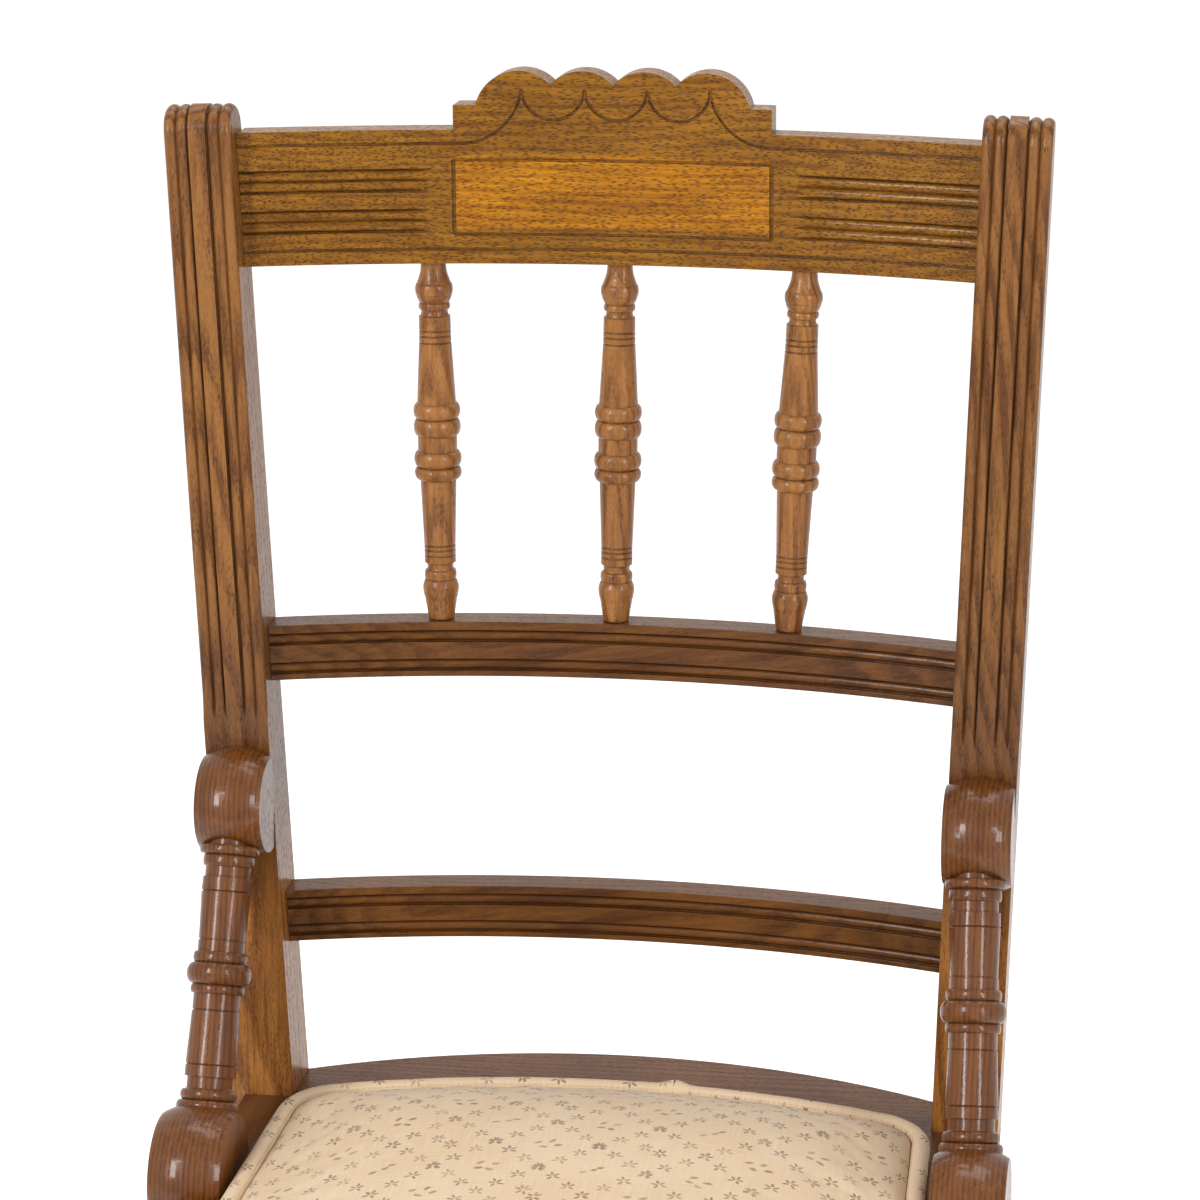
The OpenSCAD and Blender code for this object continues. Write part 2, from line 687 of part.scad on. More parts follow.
module post() {
    color("saddlebrown")
        difference() {
            translate([half_gap, 0, 0])
                rotate([0, splay, 0])
                    difference() {
                        rotate([90, 0, 90])
                            linear_extrude(post_w)
                                post_outline();
                        for (side = [-1, 1])
                            post_beads(post_w / 2 + side * band_off);
                    }
            translate([0, -seat_h, -seat_h - 3 * over])
                cube([2 * half_gap, 2 * seat_h, 3 * over]);
            rail_frame(crest_z, crest_tilt)
                rail_tenons(crest_end, crest_h, crest_tenon_inset, fit, end_gap);
            rail_frame(mid_z, mid_tilt)
                rail_tenons(mid_end, mid_h, rail_tenon_inset, fit, end_gap);
            rail_frame(low_z, low_tilt)
                rail_tenons(low_end, low_h, rail_tenon_inset, fit, end_gap);
            seat_tenons(fit, end_gap);
            stretcher_pins(fit, end_gap);
            post_screw_set(fit);
            hip_post_screw(fit);
            side_dowels(dowel_r + fit, end_gap);
        }
}

module post_left() {
    mirror([1, 0, 0])
        post();
}

module post_right() {
    post();
}

// Tenons of the back seat rail in the posts
module seat_tenons(c, gap) {
    for (side = [0, 1])
        mirror([side, 0, 0])
            translate([half_gap - tenon_root - over, seat_tenon_front - c, -frame_t + seat_tenon_inset - c])
                cube([tenon_root + over + tenon_len + gap,
                    back_rail_end_d - seat_tenon_back - seat_tenon_front + 2 * c, seat_tenon_t + 2 * c]);
}

module seat_rail_back() {
    chord = half_gap;
    rise = back_rail_mid_d - back_rail_end_d;
    r = (chord * chord + rise * rise) / (2 * rise);
    color("sienna")
        difference() {
            union() {
                intersection() {
                    between_posts(fit);
                    translate([0, 0, -frame_t])
                        linear_extrude(frame_t)
                            intersection() {
                                translate([0, back_rail_mid_d - r])
                                    circle(r, $fn = round_n * bow_fine);
                                translate([-chord - over, 0])
                                    square([2 * (chord + over), back_rail_mid_d + over]);
                            }
                }
                seat_tenons(0, 0);
            }
            back_dowels(dowel_r + fit, end_gap);
            post_screw_set(fit);
        }
}

function side_x(y) = frame_back_half + (frame_front_half - frame_back_half) * (-y / side_rail_run);

module seat_rail_side() {
    difference() {
        translate([0, 0, -frame_t])
            linear_extrude(frame_t)
                polygon([[frame_open_half, -fit], [side_x(0), -fit],
                    [side_x(-side_rail_run), fit - side_rail_run], [frame_open_half, fit - side_rail_run]]);
        back_dowels(dowel_r + fit, end_gap);
        side_dowels(dowel_r + fit, end_gap);
        front_dowels(dowel_r + fit, end_gap);
        board_screw_set(fit);
        hip_rail_screw(fit);
    }
}

module seat_rail_left() {
    color("sienna")
        mirror([1, 0, 0])
            seat_rail_side();
}

module seat_rail_right() {
    color("sienna")
        seat_rail_side();
}

module seat_rail_front() {
    w = frame_front_half;
    color("sienna")
        difference() {
            translate([0, 0, -frame_t])
                linear_extrude(frame_t)
                    difference() {
                        intersection() {
                            translate([-w, -front_edge - over])
                                square([2 * w, front_rail_d + over]);
                            translate([0, front_bow_r - front_edge])
                                circle(front_bow_r, $fn = round_n * bow_fine);
                        }
                        for (side = [-1, 1])
                            translate([side * (w - front_corner_r),
                                front_corner_r + corner_drop - front_edge])
                                mirror([side < 0 ? 1 : 0, 0])
                                    difference() {
                                        translate([0, -2 * front_corner_r])
                                            square(2 * front_corner_r);
                                        circle(front_corner_r, $fn = round_n);
                                    }
                    }
            front_dowels(dowel_r + fit, end_gap);
            for (side = [-1, 1])
                translate([side * leg_x, leg_y, -frame_t - over])
                    cylinder(r = leg_pin_r + fit, h = over + leg_pin_len + end_gap, $fn = round_n);
            board_screw_set(fit);
        }
}

// Dowel rows between two butting boards, centred on the joint
module dowel_at(p, dir, r, gap) {
    translate(p)
        rotate(dir)
            translate([0, 0, -dowel_len / 2 - gap])
                cylinder(r = r, h = dowel_len + 2 * gap, $fn = round_n);
}

module back_dowels(r, gap) {
    for (side = [-1, 1])
        for (s = back_dowel_shares)
            dowel_at([side * (frame_open_half + (half_gap - frame_open_half) * s), 0, -frame_t / 2],
                [90, 0, 0], r, gap);
}

module side_dowels(r, gap) {
    for (side = [-1, 1])
        dowel_at([side * (half_gap + (frame_back_half - half_gap) / 2), 0, -frame_t / 2],
            [90, 0, 0], r, gap);
}

module front_dowels(r, gap) {
    for (side = [-1, 1])
        for (s = front_dowel_shares)
            dowel_at([side * (frame_open_half + (frame_front_half - frame_open_half) * s),
                -side_rail_run, -frame_t / 2], [90, 0, 0], r, gap);
}

module frame_dowels() {
    color("tan") {
        back_dowels(dowel_r, 0);
        side_dowels(dowel_r, 0);
        front_dowels(dowel_r, 0);
    }
}

// Countersunk screw running up from its head, grown by c for its hole
module wood_screw(l, c) {
    cylinder(r = screw_r + c, h = l + (c > 0 ? end_gap : 0), $fn = round_n);
    cylinder(r1 = screw_head_r + c, r2 = screw_r + c, h = screw_head_h, $fn = round_n);
    if (c > 0)
        translate([0, 0, -over])
            cylinder(r = screw_head_r + c, h = over, $fn = round_n);
}

// Flat headed screw under a wooden plug, running +z from the wood face
module plugged_screw(l, c) {
    translate([0, 0, plug_h])
        cylinder(r = screw_r + c, h = l + (c > 0 ? end_gap : 0), $fn = round_n);
    translate([0, 0, plug_h + fit - c])
        cylinder(r = screw_head_r + c, h = screw_head_h + c, $fn = round_n);
    if (c > 0)
        translate([0, 0, -over])
            cylinder(r = plug_r + c, h = over + plug_h + fit + screw_head_h, $fn = round_n);
}

module plug() {
    translate([0, 0, fit])
        cylinder(r = plug_r, h = plug_h - 2 * fit, $fn = round_n);
}

// Sites of the screws through the posts into the back seat rail
post_screw_z = -frame_t + seat_tenon_inset + seat_tenon_t / 2;
post_screw_y = (seat_tenon_front + back_rail_end_d - seat_tenon_back) / 2;
post_screw_len = post_w + screw_bite - plug_h;

module post_screw_sites() {
    for (side = [0, 1])
        mirror([side, 0, 0])
            translate([gap_at(post_screw_z) + post_w, post_screw_y, post_screw_z])
                rotate([0, -90, 0])
                    children();
}

module post_screw_set(c) {
    post_screw_sites()
        plugged_screw(post_screw_len, c);
}

module post_screws() {
    color("silver")
        post_screw_set(0);
}

// Sites of the screws through the posts into the hip rests
hip_screw_z = hip_z + hip_rise;
hip_screw_len = depth_y(hip_screw_z) + screw_bite - plug_h;

module hip_post_sites() {
    for (side = [0, 1])
        mirror([side, 0, 0])
            translate([post_mid_x(hip_screw_z), front_y(hip_screw_z) + depth_y(hip_screw_z), hip_screw_z])
                rotate([90, 0, 0])
                    children();
}

module hip_post_screw(c) {
    hip_post_sites()
        plugged_screw(hip_screw_len, c);
}

module hip_rail_screw(c) {
    for (side = [0, 1])
        mirror([side, 0, 0])
            translate([hip_low_x - hip_low_w / 4, hip_knob_y, -frame_t])
                wood_screw(frame_t + screw_bite, c);
}

module hip_rest_screws() {
    color("silver") {
        hip_post_screw(0);
        hip_rail_screw(0);
    }
}

module post_plugs() {
    color("saddlebrown") {
        post_screw_sites()
            plug();
        hip_post_sites()
            plug();
    }
}

module board_screw_set(c) {
    for (side = [-1, 1]) {
        for (s = board_screw_shares)
            translate([side * board_screw_x, -side_rail_run * s, -frame_t])
                wood_screw(frame_t + board_t * 0.6, c);
        translate([side * board_screw_x / 2, leg_y + board_screw_in, -frame_t])
            wood_screw(frame_t + board_t * 0.6, c);
    }
}

module seat_board_screws() {
    color("silver")
        board_screw_set(0);
}

// Hip rest: a turning between two knobs planed flat on both sides
module hip_knob(c, r, w) {
    a = asin(w / 2 / r);
    translate(c)
        rotate([0, 90, 0])
            rotate_extrude($fn = round_n)
                polygon(concat([[0, -w / 2]], arc_pts(0, 0, r, -a, a, knob_n), [[0, w / 2]]));
}

module hip_rest() {
    p = [hip_x, hip_y, hip_z];
    dir = [sin(hip_out), -cos(hip_out) * sin(hip_slope), -cos(hip_out) * cos(hip_slope)];
    q = p + dir * hip_turn_len;
    zk = hip_z + hip_rise;
    top = [post_mid_x(zk), front_y(zk) - hip_top_back, zk];
    low = [hip_low_x, hip_knob_y, hip_knob_z];
    color("saddlebrown")
        difference() {
            union() {
                along(p, q)
                    turning(hip_shares, hip_turn_len, hip_turn_r);
                along(p - dir * hip_root, q + dir * hip_root)
                    cylinder(r = hip_turn_r * 0.7, h = hip_turn_len + 2 * hip_root, $fn = round_n);
                hip_knob(top, hip_top_r, hip_top_w);
                hip_knob(low, hip_low_r, hip_low_w);
            }
            translate([half_gap - post_w, front_y(zk) - fit, zk])
                rotate([-tilt_at(zk), 0, 0])
                    translate([0, 0, -2 * hip_top_r])
                        cube([3 * post_w, 3 * hip_top_r, 4 * hip_top_r]);
            translate([0, 0, -2 * hip_low_r])
                linear_extrude(2 * hip_low_r + fit)
                    polygon([[0, 0], [side_x(0) + fit, 0],
                        [side_x(-side_rail_run) + fit, -side_rail_run], [0, -side_rail_run]]);
            hip_post_screw(fit);
            hip_rail_screw(fit);
        }
}

module hip_rest_left() {
    mirror([1, 0, 0])
        hip_rest();
}

module hip_rest_right() {
    hip_rest();
}

// Ends of the stretchers at the wood faces they enter
leg_face = leg_r * 0.88;
function front_end(side, z) = [side * (leg_x - leg_face), leg_y, z - seat_h];
function side_start(z) = [leg_x, leg_y + leg_face, z - seat_h];
function side_end(z) = [post_mid_x(z - seat_h), front_y(z - seat_h), z - seat_h];
function back_end(side) = [side * gap_at(back_high - seat_h),
    front_y(back_high - seat_h) + depth_y(back_high - seat_h) / 2, back_high - seat_h];

module stretcher_pin(p, q, c, gap) {
    l = norm(q - p);
    along(p, q)
        translate([0, 0, -stretcher_pin_len - gap])
            cylinder(r = stretcher_pin_r + c, h = l + 2 * (stretcher_pin_len + gap), $fn = round_n);
}

module stretcher_pins(c, gap) {
    for (z = [front_high, front_low])
        stretcher_pin(front_end(-1, z), front_end(1, z), c, gap);
    for (z = [side_high, side_low])
        stretcher_pin(side_start(z), side_end(z), c, gap);
    stretcher_pin(back_end(-1), back_end(1), c, gap);
}

module stretcher(p, q) {
    color("burlywood") {
        stretcher_pin(p, q, 0, 0);
        along(p, q)
            turning(stretcher_shares, norm(q - p), stretcher_r);
    }
}

module side_stretcher(side, z) {
    mirror([side < 0 ? 1 : 0, 0, 0])
        stretcher(side_start(z), side_end(z));
}

module front_leg() {
    color("saddlebrown")
        difference() {
            translate([leg_x, leg_y, -frame_t - fit]) {
                mirror([0, 0, 1])
                    turning(leg_shares, leg_top - fit, leg_r);
                translate([0, 0, -leg_pin_len])
                    cylinder(r = leg_pin_r, h = 2 * leg_pin_len, $fn = round_n);
            }
            stretcher_pins(fit, end_gap);
        }
}

module front_leg_left() {
    mirror([1, 0, 0])
        front_leg();
}

module front_leg_right() {
    front_leg();
}

// Closed surface through rings of points from one end point to the other
module ringed(rings, first, last) {
    n = len(rings[0]);
    m = len(rings);
    end = n * m + 1;
    side = [for (k = [0:m - 2]) for (i = [0:n - 1])
        let (a = 1 + k * n + i, b = 1 + k * n + (i + 1) % n)
        each [[a, b, b + n], [a, b + n, a + n]]];
    start = [for (i = [0:n - 1]) [0, 1 + (i + 1) % n, 1 + i]];
    stop = [for (i = [0:n - 1]) [end - n + i, end - n + (i + 1) % n, end]];
    polyhedron(concat([first], [for (ring = rings) each ring], [last]), concat(start, side, stop));
}

module seat_board() {
    color("wheat")
        difference() {
            translate([0, 0, fit])
                linear_extrude(board_t)
                    polygon(pad_outline(board_inset));
            board_screw_set(fit);
        }
}

module seat_stuffing() {
    base = fit + board_t + soft_gap;
    t = cover_t + soft_gap;
    f0 = asin((base - pad_wide_z) / (pad_shoulder - t - pad_wide_z));
    color("ivory")
        ringed(concat([roll_ring(f0, t)], [for (f = [roll_end * 0.7, roll_end]) roll_ring(f, t)],
            [for (c = crown_shares) crown_ring(c, t)]),
            [0, pad_mid_y, base], [0, pad_mid_y, crown_z(0, t)]);
}

module seat_cover() {
    color("beige")
        ringed(concat(turned_round(skin_rings(cover_t)), skin_rings(0)),
            [0, pad_mid_y, crown_z(0, cover_t)], [0, pad_mid_y, crown_z(0, 0)]);
}

module seat_welt() {
    rings = [for (a = welt_turns)
        lift(pad_outline(welt_r * (1 - cos(a))), soft_gap + welt_r * (1 + sin(a)))];
    n = len(rings[0]);
    m = len(rings);
    color("beige")
        polyhedron([for (ring = rings) each ring],
            [for (k = [0:m - 1]) for (i = [0:n - 1])
                let (a = k * n + i, b = k * n + (i + 1) % n, c = ((k + 1) % m) * n)
                each [[a, b, c + (i + 1) % n], [a, c + (i + 1) % n, c + i]]]);
}

place() post_left();
place() post_right();
place() crest_rail();
place() middle_rail();
place() lower_rail();
place() spindle(-1);  // spindle_left
place() spindle(0);  // spindle_middle
place() spindle(1);  // spindle_right
place() hip_rest_left();
place() hip_rest_right();
place() seat_rail_back();
place() seat_rail_front();
place() seat_rail_left();
place() seat_rail_right();
place() front_leg_left();
place() front_leg_right();
place() stretcher(front_end(-1, front_high), front_end(1, front_high));  // front_stretcher_upper
place() stretcher(front_end(-1, front_low), front_end(1, front_low));  // front_stretcher_lower
place() side_stretcher(-1, side_high);  // side_stretcher_left_upper
place() side_stretcher(-1, side_low);  // side_stretcher_left_lower
place() side_stretcher(1, side_high);  // side_stretcher_right_upper
place() side_stretcher(1, side_low);  // side_stretcher_right_lower
place() stretcher(back_end(-1), back_end(1));  // back_stretcher
place() seat_board();
place() seat_stuffing();
place() seat_cover();
place() seat_welt();
place() frame_dowels();
place() post_screws();
place() post_plugs();
place() hip_rest_screws();
place() seat_board_screws();
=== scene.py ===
import math
from bisect import bisect_right
from functools import cache, partial, reduce

import bmesh
import bpy
from mathutils import Matrix, Vector, noise
from mathutils.kdtree import KDTree


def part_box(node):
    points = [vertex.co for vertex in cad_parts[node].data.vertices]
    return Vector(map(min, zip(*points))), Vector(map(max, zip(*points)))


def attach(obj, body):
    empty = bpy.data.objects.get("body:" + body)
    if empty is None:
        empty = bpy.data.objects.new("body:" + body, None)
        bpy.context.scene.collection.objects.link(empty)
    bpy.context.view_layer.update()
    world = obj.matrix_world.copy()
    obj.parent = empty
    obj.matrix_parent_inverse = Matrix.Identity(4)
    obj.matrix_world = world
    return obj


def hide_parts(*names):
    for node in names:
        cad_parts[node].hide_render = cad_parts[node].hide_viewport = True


bl_info = {
    "name": "Oak Side Chair",
    "version": (1, 0, 0),
    "blender": (4, 5, 0),
    "location": "View3D > Sidebar > Oak Chair",
    "description": "Finishes an oak side chair with turned spindles, hip rests and a padded cotton seat",
    "category": "Object",
}

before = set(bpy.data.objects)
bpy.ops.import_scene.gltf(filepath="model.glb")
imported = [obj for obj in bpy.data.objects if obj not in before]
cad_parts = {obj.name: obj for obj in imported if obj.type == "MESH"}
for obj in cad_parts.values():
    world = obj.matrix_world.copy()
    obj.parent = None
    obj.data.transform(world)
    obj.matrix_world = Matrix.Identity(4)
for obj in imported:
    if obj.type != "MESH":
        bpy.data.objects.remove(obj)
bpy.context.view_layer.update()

# The seat frame gives the two places that everything else is measured from.
BUTT_GAP = 0.00015
SEAT_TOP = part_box("seat_rail_left")[1].z
POST_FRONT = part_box("seat_rail_left")[1].y + BUTT_GAP

BODY = "root"
MM = 0.001


# Settings

TONE = {"subtype": "COLOR", "size": 3, "min": 0, "max": 1}
LENGTH = {"subtype": "DISTANCE", "unit": "LENGTH"}
POWER = {"subtype": "POWER", "unit": "POWER", "min": 0, "max": 500}


class OakSettings(bpy.types.PropertyGroup):
    """Colours and surface of the oak."""

    gold: bpy.props.FloatVectorProperty(
        name="Gold", description="Light tone of the crest wood", default=(0.33, 0.138, 0.0095), **TONE)
    amber: bpy.props.FloatVectorProperty(
        name="Amber", description="Light tone of posts and turnings", default=(0.38, 0.155, 0.035), **TONE)
    walnut: bpy.props.FloatVectorProperty(
        name="Brown", description="Light tone of rails and seat", default=(0.185, 0.072, 0.022), **TONE)
    # This colour also darkens the recesses as painted shade.
    pore_and_shade: bpy.props.FloatVectorProperty(
        name="Pores", description="Stain in pores and grooves", default=(0.05, 0.016, 0.004), **TONE)
    ring_width: bpy.props.FloatProperty(
        name="Ring Width", description="Width of a ring", default=0.0042, min=0.001, max=0.02, **LENGTH)
    varnish: bpy.props.FloatProperty(
        name="Varnish", description="Strength of the varnish coat", subtype="FACTOR",
        min=0, max=1, default=0.12)


class PadSettings(bpy.types.PropertyGroup):
    """Sizes and colours of the padded seat."""

    cotton: bpy.props.FloatVectorProperty(
        name="Cotton", description="Colour of the cloth", default=(0.82, 0.63, 0.43), **TONE)
    print_ink: bpy.props.FloatVectorProperty(
        name="Print", description="Colour of the printed sprigs", default=(0.25, 0.165, 0.11), **TONE)
    repeat_width: bpy.props.FloatProperty(
        name="Repeat Width", description="Width of one repeat", min=0.03, max=0.3, default=0.104, **LENGTH)
    repeat_depth: bpy.props.FloatProperty(
        name="Repeat Depth", description="Depth of one repeat", min=0.03, max=0.3, default=0.108, **LENGTH)
    welt_radius: bpy.props.FloatProperty(
        name="Welt Radius", description="Radius of the covered cord", min=0.002, max=0.008, default=0.0047,
        **LENGTH)
    crown: bpy.props.FloatProperty(
        name="Crown", description="Height of the pad above the seat frame", min=0.02, max=0.06,
        default=0.038, **LENGTH)
    pressure: bpy.props.FloatProperty(
        name="Pressure", description="How hard the filling pushes", min=0, max=10, default=2.6)
    stitch_pitch: bpy.props.FloatProperty(
        name="Stitch Pitch", description="From one stitch to the next", min=0.001, max=0.01,
        default=0.0031, **LENGTH)


class TurningSettings(bpy.types.PropertyGroup):
    """Sizes of the turned spindles."""

    spindle_radius: bpy.props.FloatProperty(
        name="Spindle Radius", description="Greatest radius of a back spindle", min=0.008, max=0.02,
        default=0.0121, **LENGTH)
    peg_radius: bpy.props.FloatProperty(
        name="Peg Radius", description="Radius of a peg", default=0.005, min=0.003, max=0.008, **LENGTH)
    peg_length: bpy.props.FloatProperty(
        name="Peg Length", description="Length of each peg", min=0.005, max=0.02, default=0.012, **LENGTH)
    segments: bpy.props.IntProperty(
        name="Segments", description="Faces round a turning", min=16, max=128, default=64)


class StageSettings(bpy.types.PropertyGroup):
    """Light and camera."""

    key_power: bpy.props.FloatProperty(name="Key", description="Key light's power", default=62, **POWER)
    fill_power: bpy.props.FloatProperty(name="Fill", description="Fill light's power", default=34, **POWER)
    top_power: bpy.props.FloatProperty(name="Top", description="Top light's power", default=26, **POWER)
    surround: bpy.props.FloatProperty(
        name="Surround", description="Brightness of the room", min=0, max=2, default=0.42)
    floor_colour: bpy.props.FloatVectorProperty(
        name="Floor", description="Colour of the floor", default=(0.9, 0.9, 0.9), **TONE)
    focal: bpy.props.FloatProperty(
        name="Focal Length", description="Focal length in millimetres", min=20, max=300, default=122.39)


# Node helpers. A function finds its tree by the first socket that it is given.

FLOAT, VECTOR, COLOUR = "NodeSocketFloat", "NodeSocketVector", "NodeSocketColor"
COUNT, SHAPE, STUFF = "NodeSocketInt", "NodeSocketGeometry", "NodeSocketMaterial"
GREY = (0.5, 0.5, 0.5)


def fill(node, sockets):
    """Links a socket to the node's input of that name or number, and sets any other value there."""
    for key, value in sockets.items():
        place = node.inputs[key]
        if isinstance(value, bpy.types.NodeSocket):
            node.id_data.links.new(value, place)
        else:
            place.default_value = (*value[:3], 1.0) if place.type == "RGBA" else value


def add(tree, kind, sockets=None, **values):
    """Adds a node, sets its options, then fills its inputs."""
    made = tree.nodes.new(kind)
    for key, value in values.items():
        setattr(made, key, value)
    fill(made, sockets or {})
    return made


def flow(tree, kind, sockets=None, **values):
    """Adds a node and returns its first output."""
    return add(tree, kind, sockets, **values).outputs[0]


def tree_of(values):
    return next(value.id_data for value in values if isinstance(value, bpy.types.NodeSocket))


def calc(operation, *values, clamp=False):
    return flow(tree_of(values), "ShaderNodeMath", dict(enumerate(values)), operation=operation,
                use_clamp=clamp)


plus, minus, times, over, least, times_plus = (partial(calc, operation) for operation in (
    "ADD", "SUBTRACT", "MULTIPLY", "DIVIDE", "MINIMUM", "MULTIPLY_ADD"))


def bell(value):
    return calc("EXPONENT", times(times(value, value), -1.0))


def vec(operation, *values):
    keys = (0, "Scale" if operation == "SCALE" else 1)
    made = add(tree_of(values), "ShaderNodeVectorMath", dict(zip(keys, values)), operation=operation)
    return made.outputs["Value" if operation in ("LENGTH", "DOT_PRODUCT") else "Vector"]


def scaled(point, factor):
    """Point times one number, or times one for each axis."""
    return vec("MULTIPLY" if isinstance(factor, tuple) else "SCALE", point, factor)


def parts(point):
    return add(point.id_data, "ShaderNodeSeparateXYZ", {0: point}).outputs


def xyz(*values):
    return flow(tree_of(values), "ShaderNodeCombineXYZ", dict(enumerate(values)))


def ramp(value, low, high, to_low=0.0, to_high=1.0):
    """Soft step between two levels while the value goes from low to high."""
    return flow(value.id_data, "ShaderNodeMapRange", {
        "Value": value, "From Min": low, "From Max": high, "To Min": to_low, "To Max": to_high},
        interpolation_type="SMOOTHSTEP")


def mix(share, a, b, how="MIX"):
    made = add(tree_of((share, a, b)), "ShaderNodeMix", {0: share, 6: a, 7: b}, data_type="RGBA",
               blend_type=how)
    return made.outputs[2]


def tinted(colour, *factors):
    """Colour times one factor, or times one for each channel."""
    return [c * f for c, f in zip(colour, factors * 3)]


def noise_at(point, scale, detail=2.0, roughness=0.5, output="Fac"):
    made = add(point.id_data, "ShaderNodeTexNoise", {
        "Vector": scaled(point, scale), "Scale": 1.0, "Detail": detail, "Roughness": roughness})
    return made.outputs[output]


def object_place(tree):
    return add(tree, "ShaderNodeTexCoord").outputs["Object"]


def relief(height, strength, distance=MM, **more):
    return flow(height.id_data, "ShaderNodeBump", {
        "Strength": strength, "Distance": distance, "Height": height, **more})


def open_group(name, kind, inputs, outputs):
    """Starts a node group with named sockets: its tree, its inner inputs and its end node."""
    tree = bpy.data.node_groups.new(name, kind)
    for label, socket, value in inputs:
        made = tree.interface.new_socket(name=label, in_out="INPUT", socket_type=socket)
        if value is not None:
            made.default_value = value
    for label, socket in outputs:
        tree.interface.new_socket(name=label, in_out="OUTPUT", socket_type=socket)
    return tree, add(tree, "NodeGroupInput").outputs, add(tree, "NodeGroupOutput")


# Shader groups

SEED_STEP = (37.3, 91.7, 53.1)  # how far one seed moves the wood, in millimetres


def grain(across, along):
    """Noise scale for marks of this width and length, in millimetres."""
    return (1 / across, 1 / across, 1 / along)


@cache
def oak_figure_group():
    """Oak with growth rings, streaks and open pores. The grain runs along Z of the vector."""
    tree, given, out = open_group("oak_figure", "ShaderNodeTree", [
        ("Vector", VECTOR, None), ("Light", COLOUR, (0.4, 0.2, 0.05, 1)),
        ("Dark", COLOUR, (0.15, 0.06, 0.02, 1)), ("Pore", COLOUR, (0.04, 0.015, 0.006, 1)),
        ("Ring Width", FLOAT, 4.2), ("Pore Strength", FLOAT, 0.7), ("Figure", FLOAT, 1.0),
        ("Bend", FLOAT, 46.0), ("Evenness", FLOAT, 0.0), ("Seed", FLOAT, 0.0)],
        [("Color", COLOUR), ("Roughness", FLOAT), ("Height", FLOAT)])
    point = vec("ADD", scaled(given["Vector"], 1 / MM), scaled(SEED_STEP, given["Seed"]))
    bend = noise_at(point, grain(60, 330), 1.5, output="Color")
    shift = scaled(vec("SUBTRACT", bend, GREY), given["Bend"])
    across = scaled(vec("ADD", point, shift), (1.0, 1.0, 0.0))
    ring = calc("FRACT", over(vec("LENGTH", across), given["Ring Width"]))
    early = times(ramp(ring, 0.0, 0.12), ramp(ring, 0.25, 0.75, 1.0, 0.0))
    cell = add(tree, "ShaderNodeTexVoronoi", {
        "Vector": scaled(point, grain(0.85, 3.9)), "Scale": 1.0, "Randomness": 0.9}, feature="F1")
    pores = ramp(cell.outputs["Distance"], 0.28, 0.46, 1.0, 0.0)
    for share in (early, ramp(noise_at(point, grain(5, 30)), 0.34, 0.6)):
        pores = times(pores, times_plus(calc("MAXIMUM", share, given["Evenness"]), 0.55, 0.45))
    hair = noise_at(point, grain(0.6, 14), 2.0, 0.6)
    streak = noise_at(point, grain(3.2, 90), 3.0, 0.6)
    cloud = noise_at(point, grain(42, 80))
    swing = times_plus(early, 0.5, -0.17)
    for part, weight in ((streak, 2.3), (hair, 1.3), (cloud, 1.3)):
        swing = times_plus(minus(part, 0.5), weight, swing)
    tone = times_plus(swing, given["Figure"], 0.42, clamp=True)
    stain = times(pores, given["Pore Strength"], clamp=True)
    fill(out, {"Color": mix(stain, mix(tone, given["Light"], given["Dark"]), given["Pore"]),
               "Roughness": times_plus(pores, 0.3, times_plus(hair, 0.2, 0.2)),
               "Height": times_plus(pores, -0.09, times(hair, 0.06))})
    return tree


@cache
def wear_and_shade_group():
    """Dirt and painted shade in recesses, rubbed and softened edges."""
    tree, given, out = open_group("wear_and_shade", "ShaderNodeTree", [
        ("Recess Size", FLOAT, 0.006), ("Edge Size", FLOAT, 0.0008)],
        [("Recess", FLOAT), ("Edge", FLOAT), ("Normal", VECTOR)])
    # Ambient occlusion marks the recesses: their darkening is painted shade, partly dirt.
    shade = add(tree, "ShaderNodeAmbientOcclusion", {"Distance": given["Recess Size"]}, samples=6,
                only_local=True)
    recess = ramp(shade.outputs["AO"], 0.35, 0.95, 1.0, 0.0)
    soft = flow(tree, "ShaderNodeBevel", {"Radius": given["Edge Size"]}, samples=4)
    face = add(tree, "ShaderNodeNewGeometry").outputs
    edge = ramp(vec("DOT_PRODUCT", soft, face["Normal"]), 0.985, 0.86)
    patchy = ramp(noise_at(face["Position"], 85.0, 3.0, 0.6), 0.4, 0.62)
    edge = times(times(edge, minus(1.0, recess)), patchy, clamp=True)
    fill(out, {"Recess": recess, "Edge": edge, "Normal": soft})
    return tree


def rosette(x, y, radius, angles, stretch=1.0):
    """Leaves that stand out from one point: place and turn of each, in millimetres."""
    marks = []
    for angle in map(math.radians, angles):
        dx, dy = radius * math.cos(angle), radius * stretch * math.sin(angle)
        marks.append((x + dx, y + dy, math.atan2(dy, dx)))
    return marks


SPRIG = rosette(0.0, 0.0, 2.2, (28, 92, 158, 212, 332), 1.4)
SPRIG_BACK = [(-x, y, -turn) for x, y, turn in SPRIG]
TWIN_STARS = (rosette(-3.6, 3.0, 2.3, (12, 62, 118, 165, 225, 300), 1.4)
              + rosette(3.4, -3.4, 2.3, (35, 85, 150, 205, 262, 330), 1.4))
FOUR_OVALS = [(-5.0, 2.6, 0.35), (-2.6, -3.4, -0.5), (2.6, 3.0, 0.7), (5.2, -2.2, 0.15)]
THREE_OVALS = [(-2.8, 3.6, 0.8), (-3.6, -2.4, 0.0), (1.4, -4.6, -0.6), (4.2, 1.2, 0.2)]
OVAL_AND_DOT = [(-4.2, -3.0, 0.6), (1.0, 0.4, 0.7), (4.0, 3.4, 0.4)]
LINE_STEP = 0.5  # from one line of the trellis to the next, in repeats
SPRIG_STEP = 1 / 6  # from one sprig to the next along a line


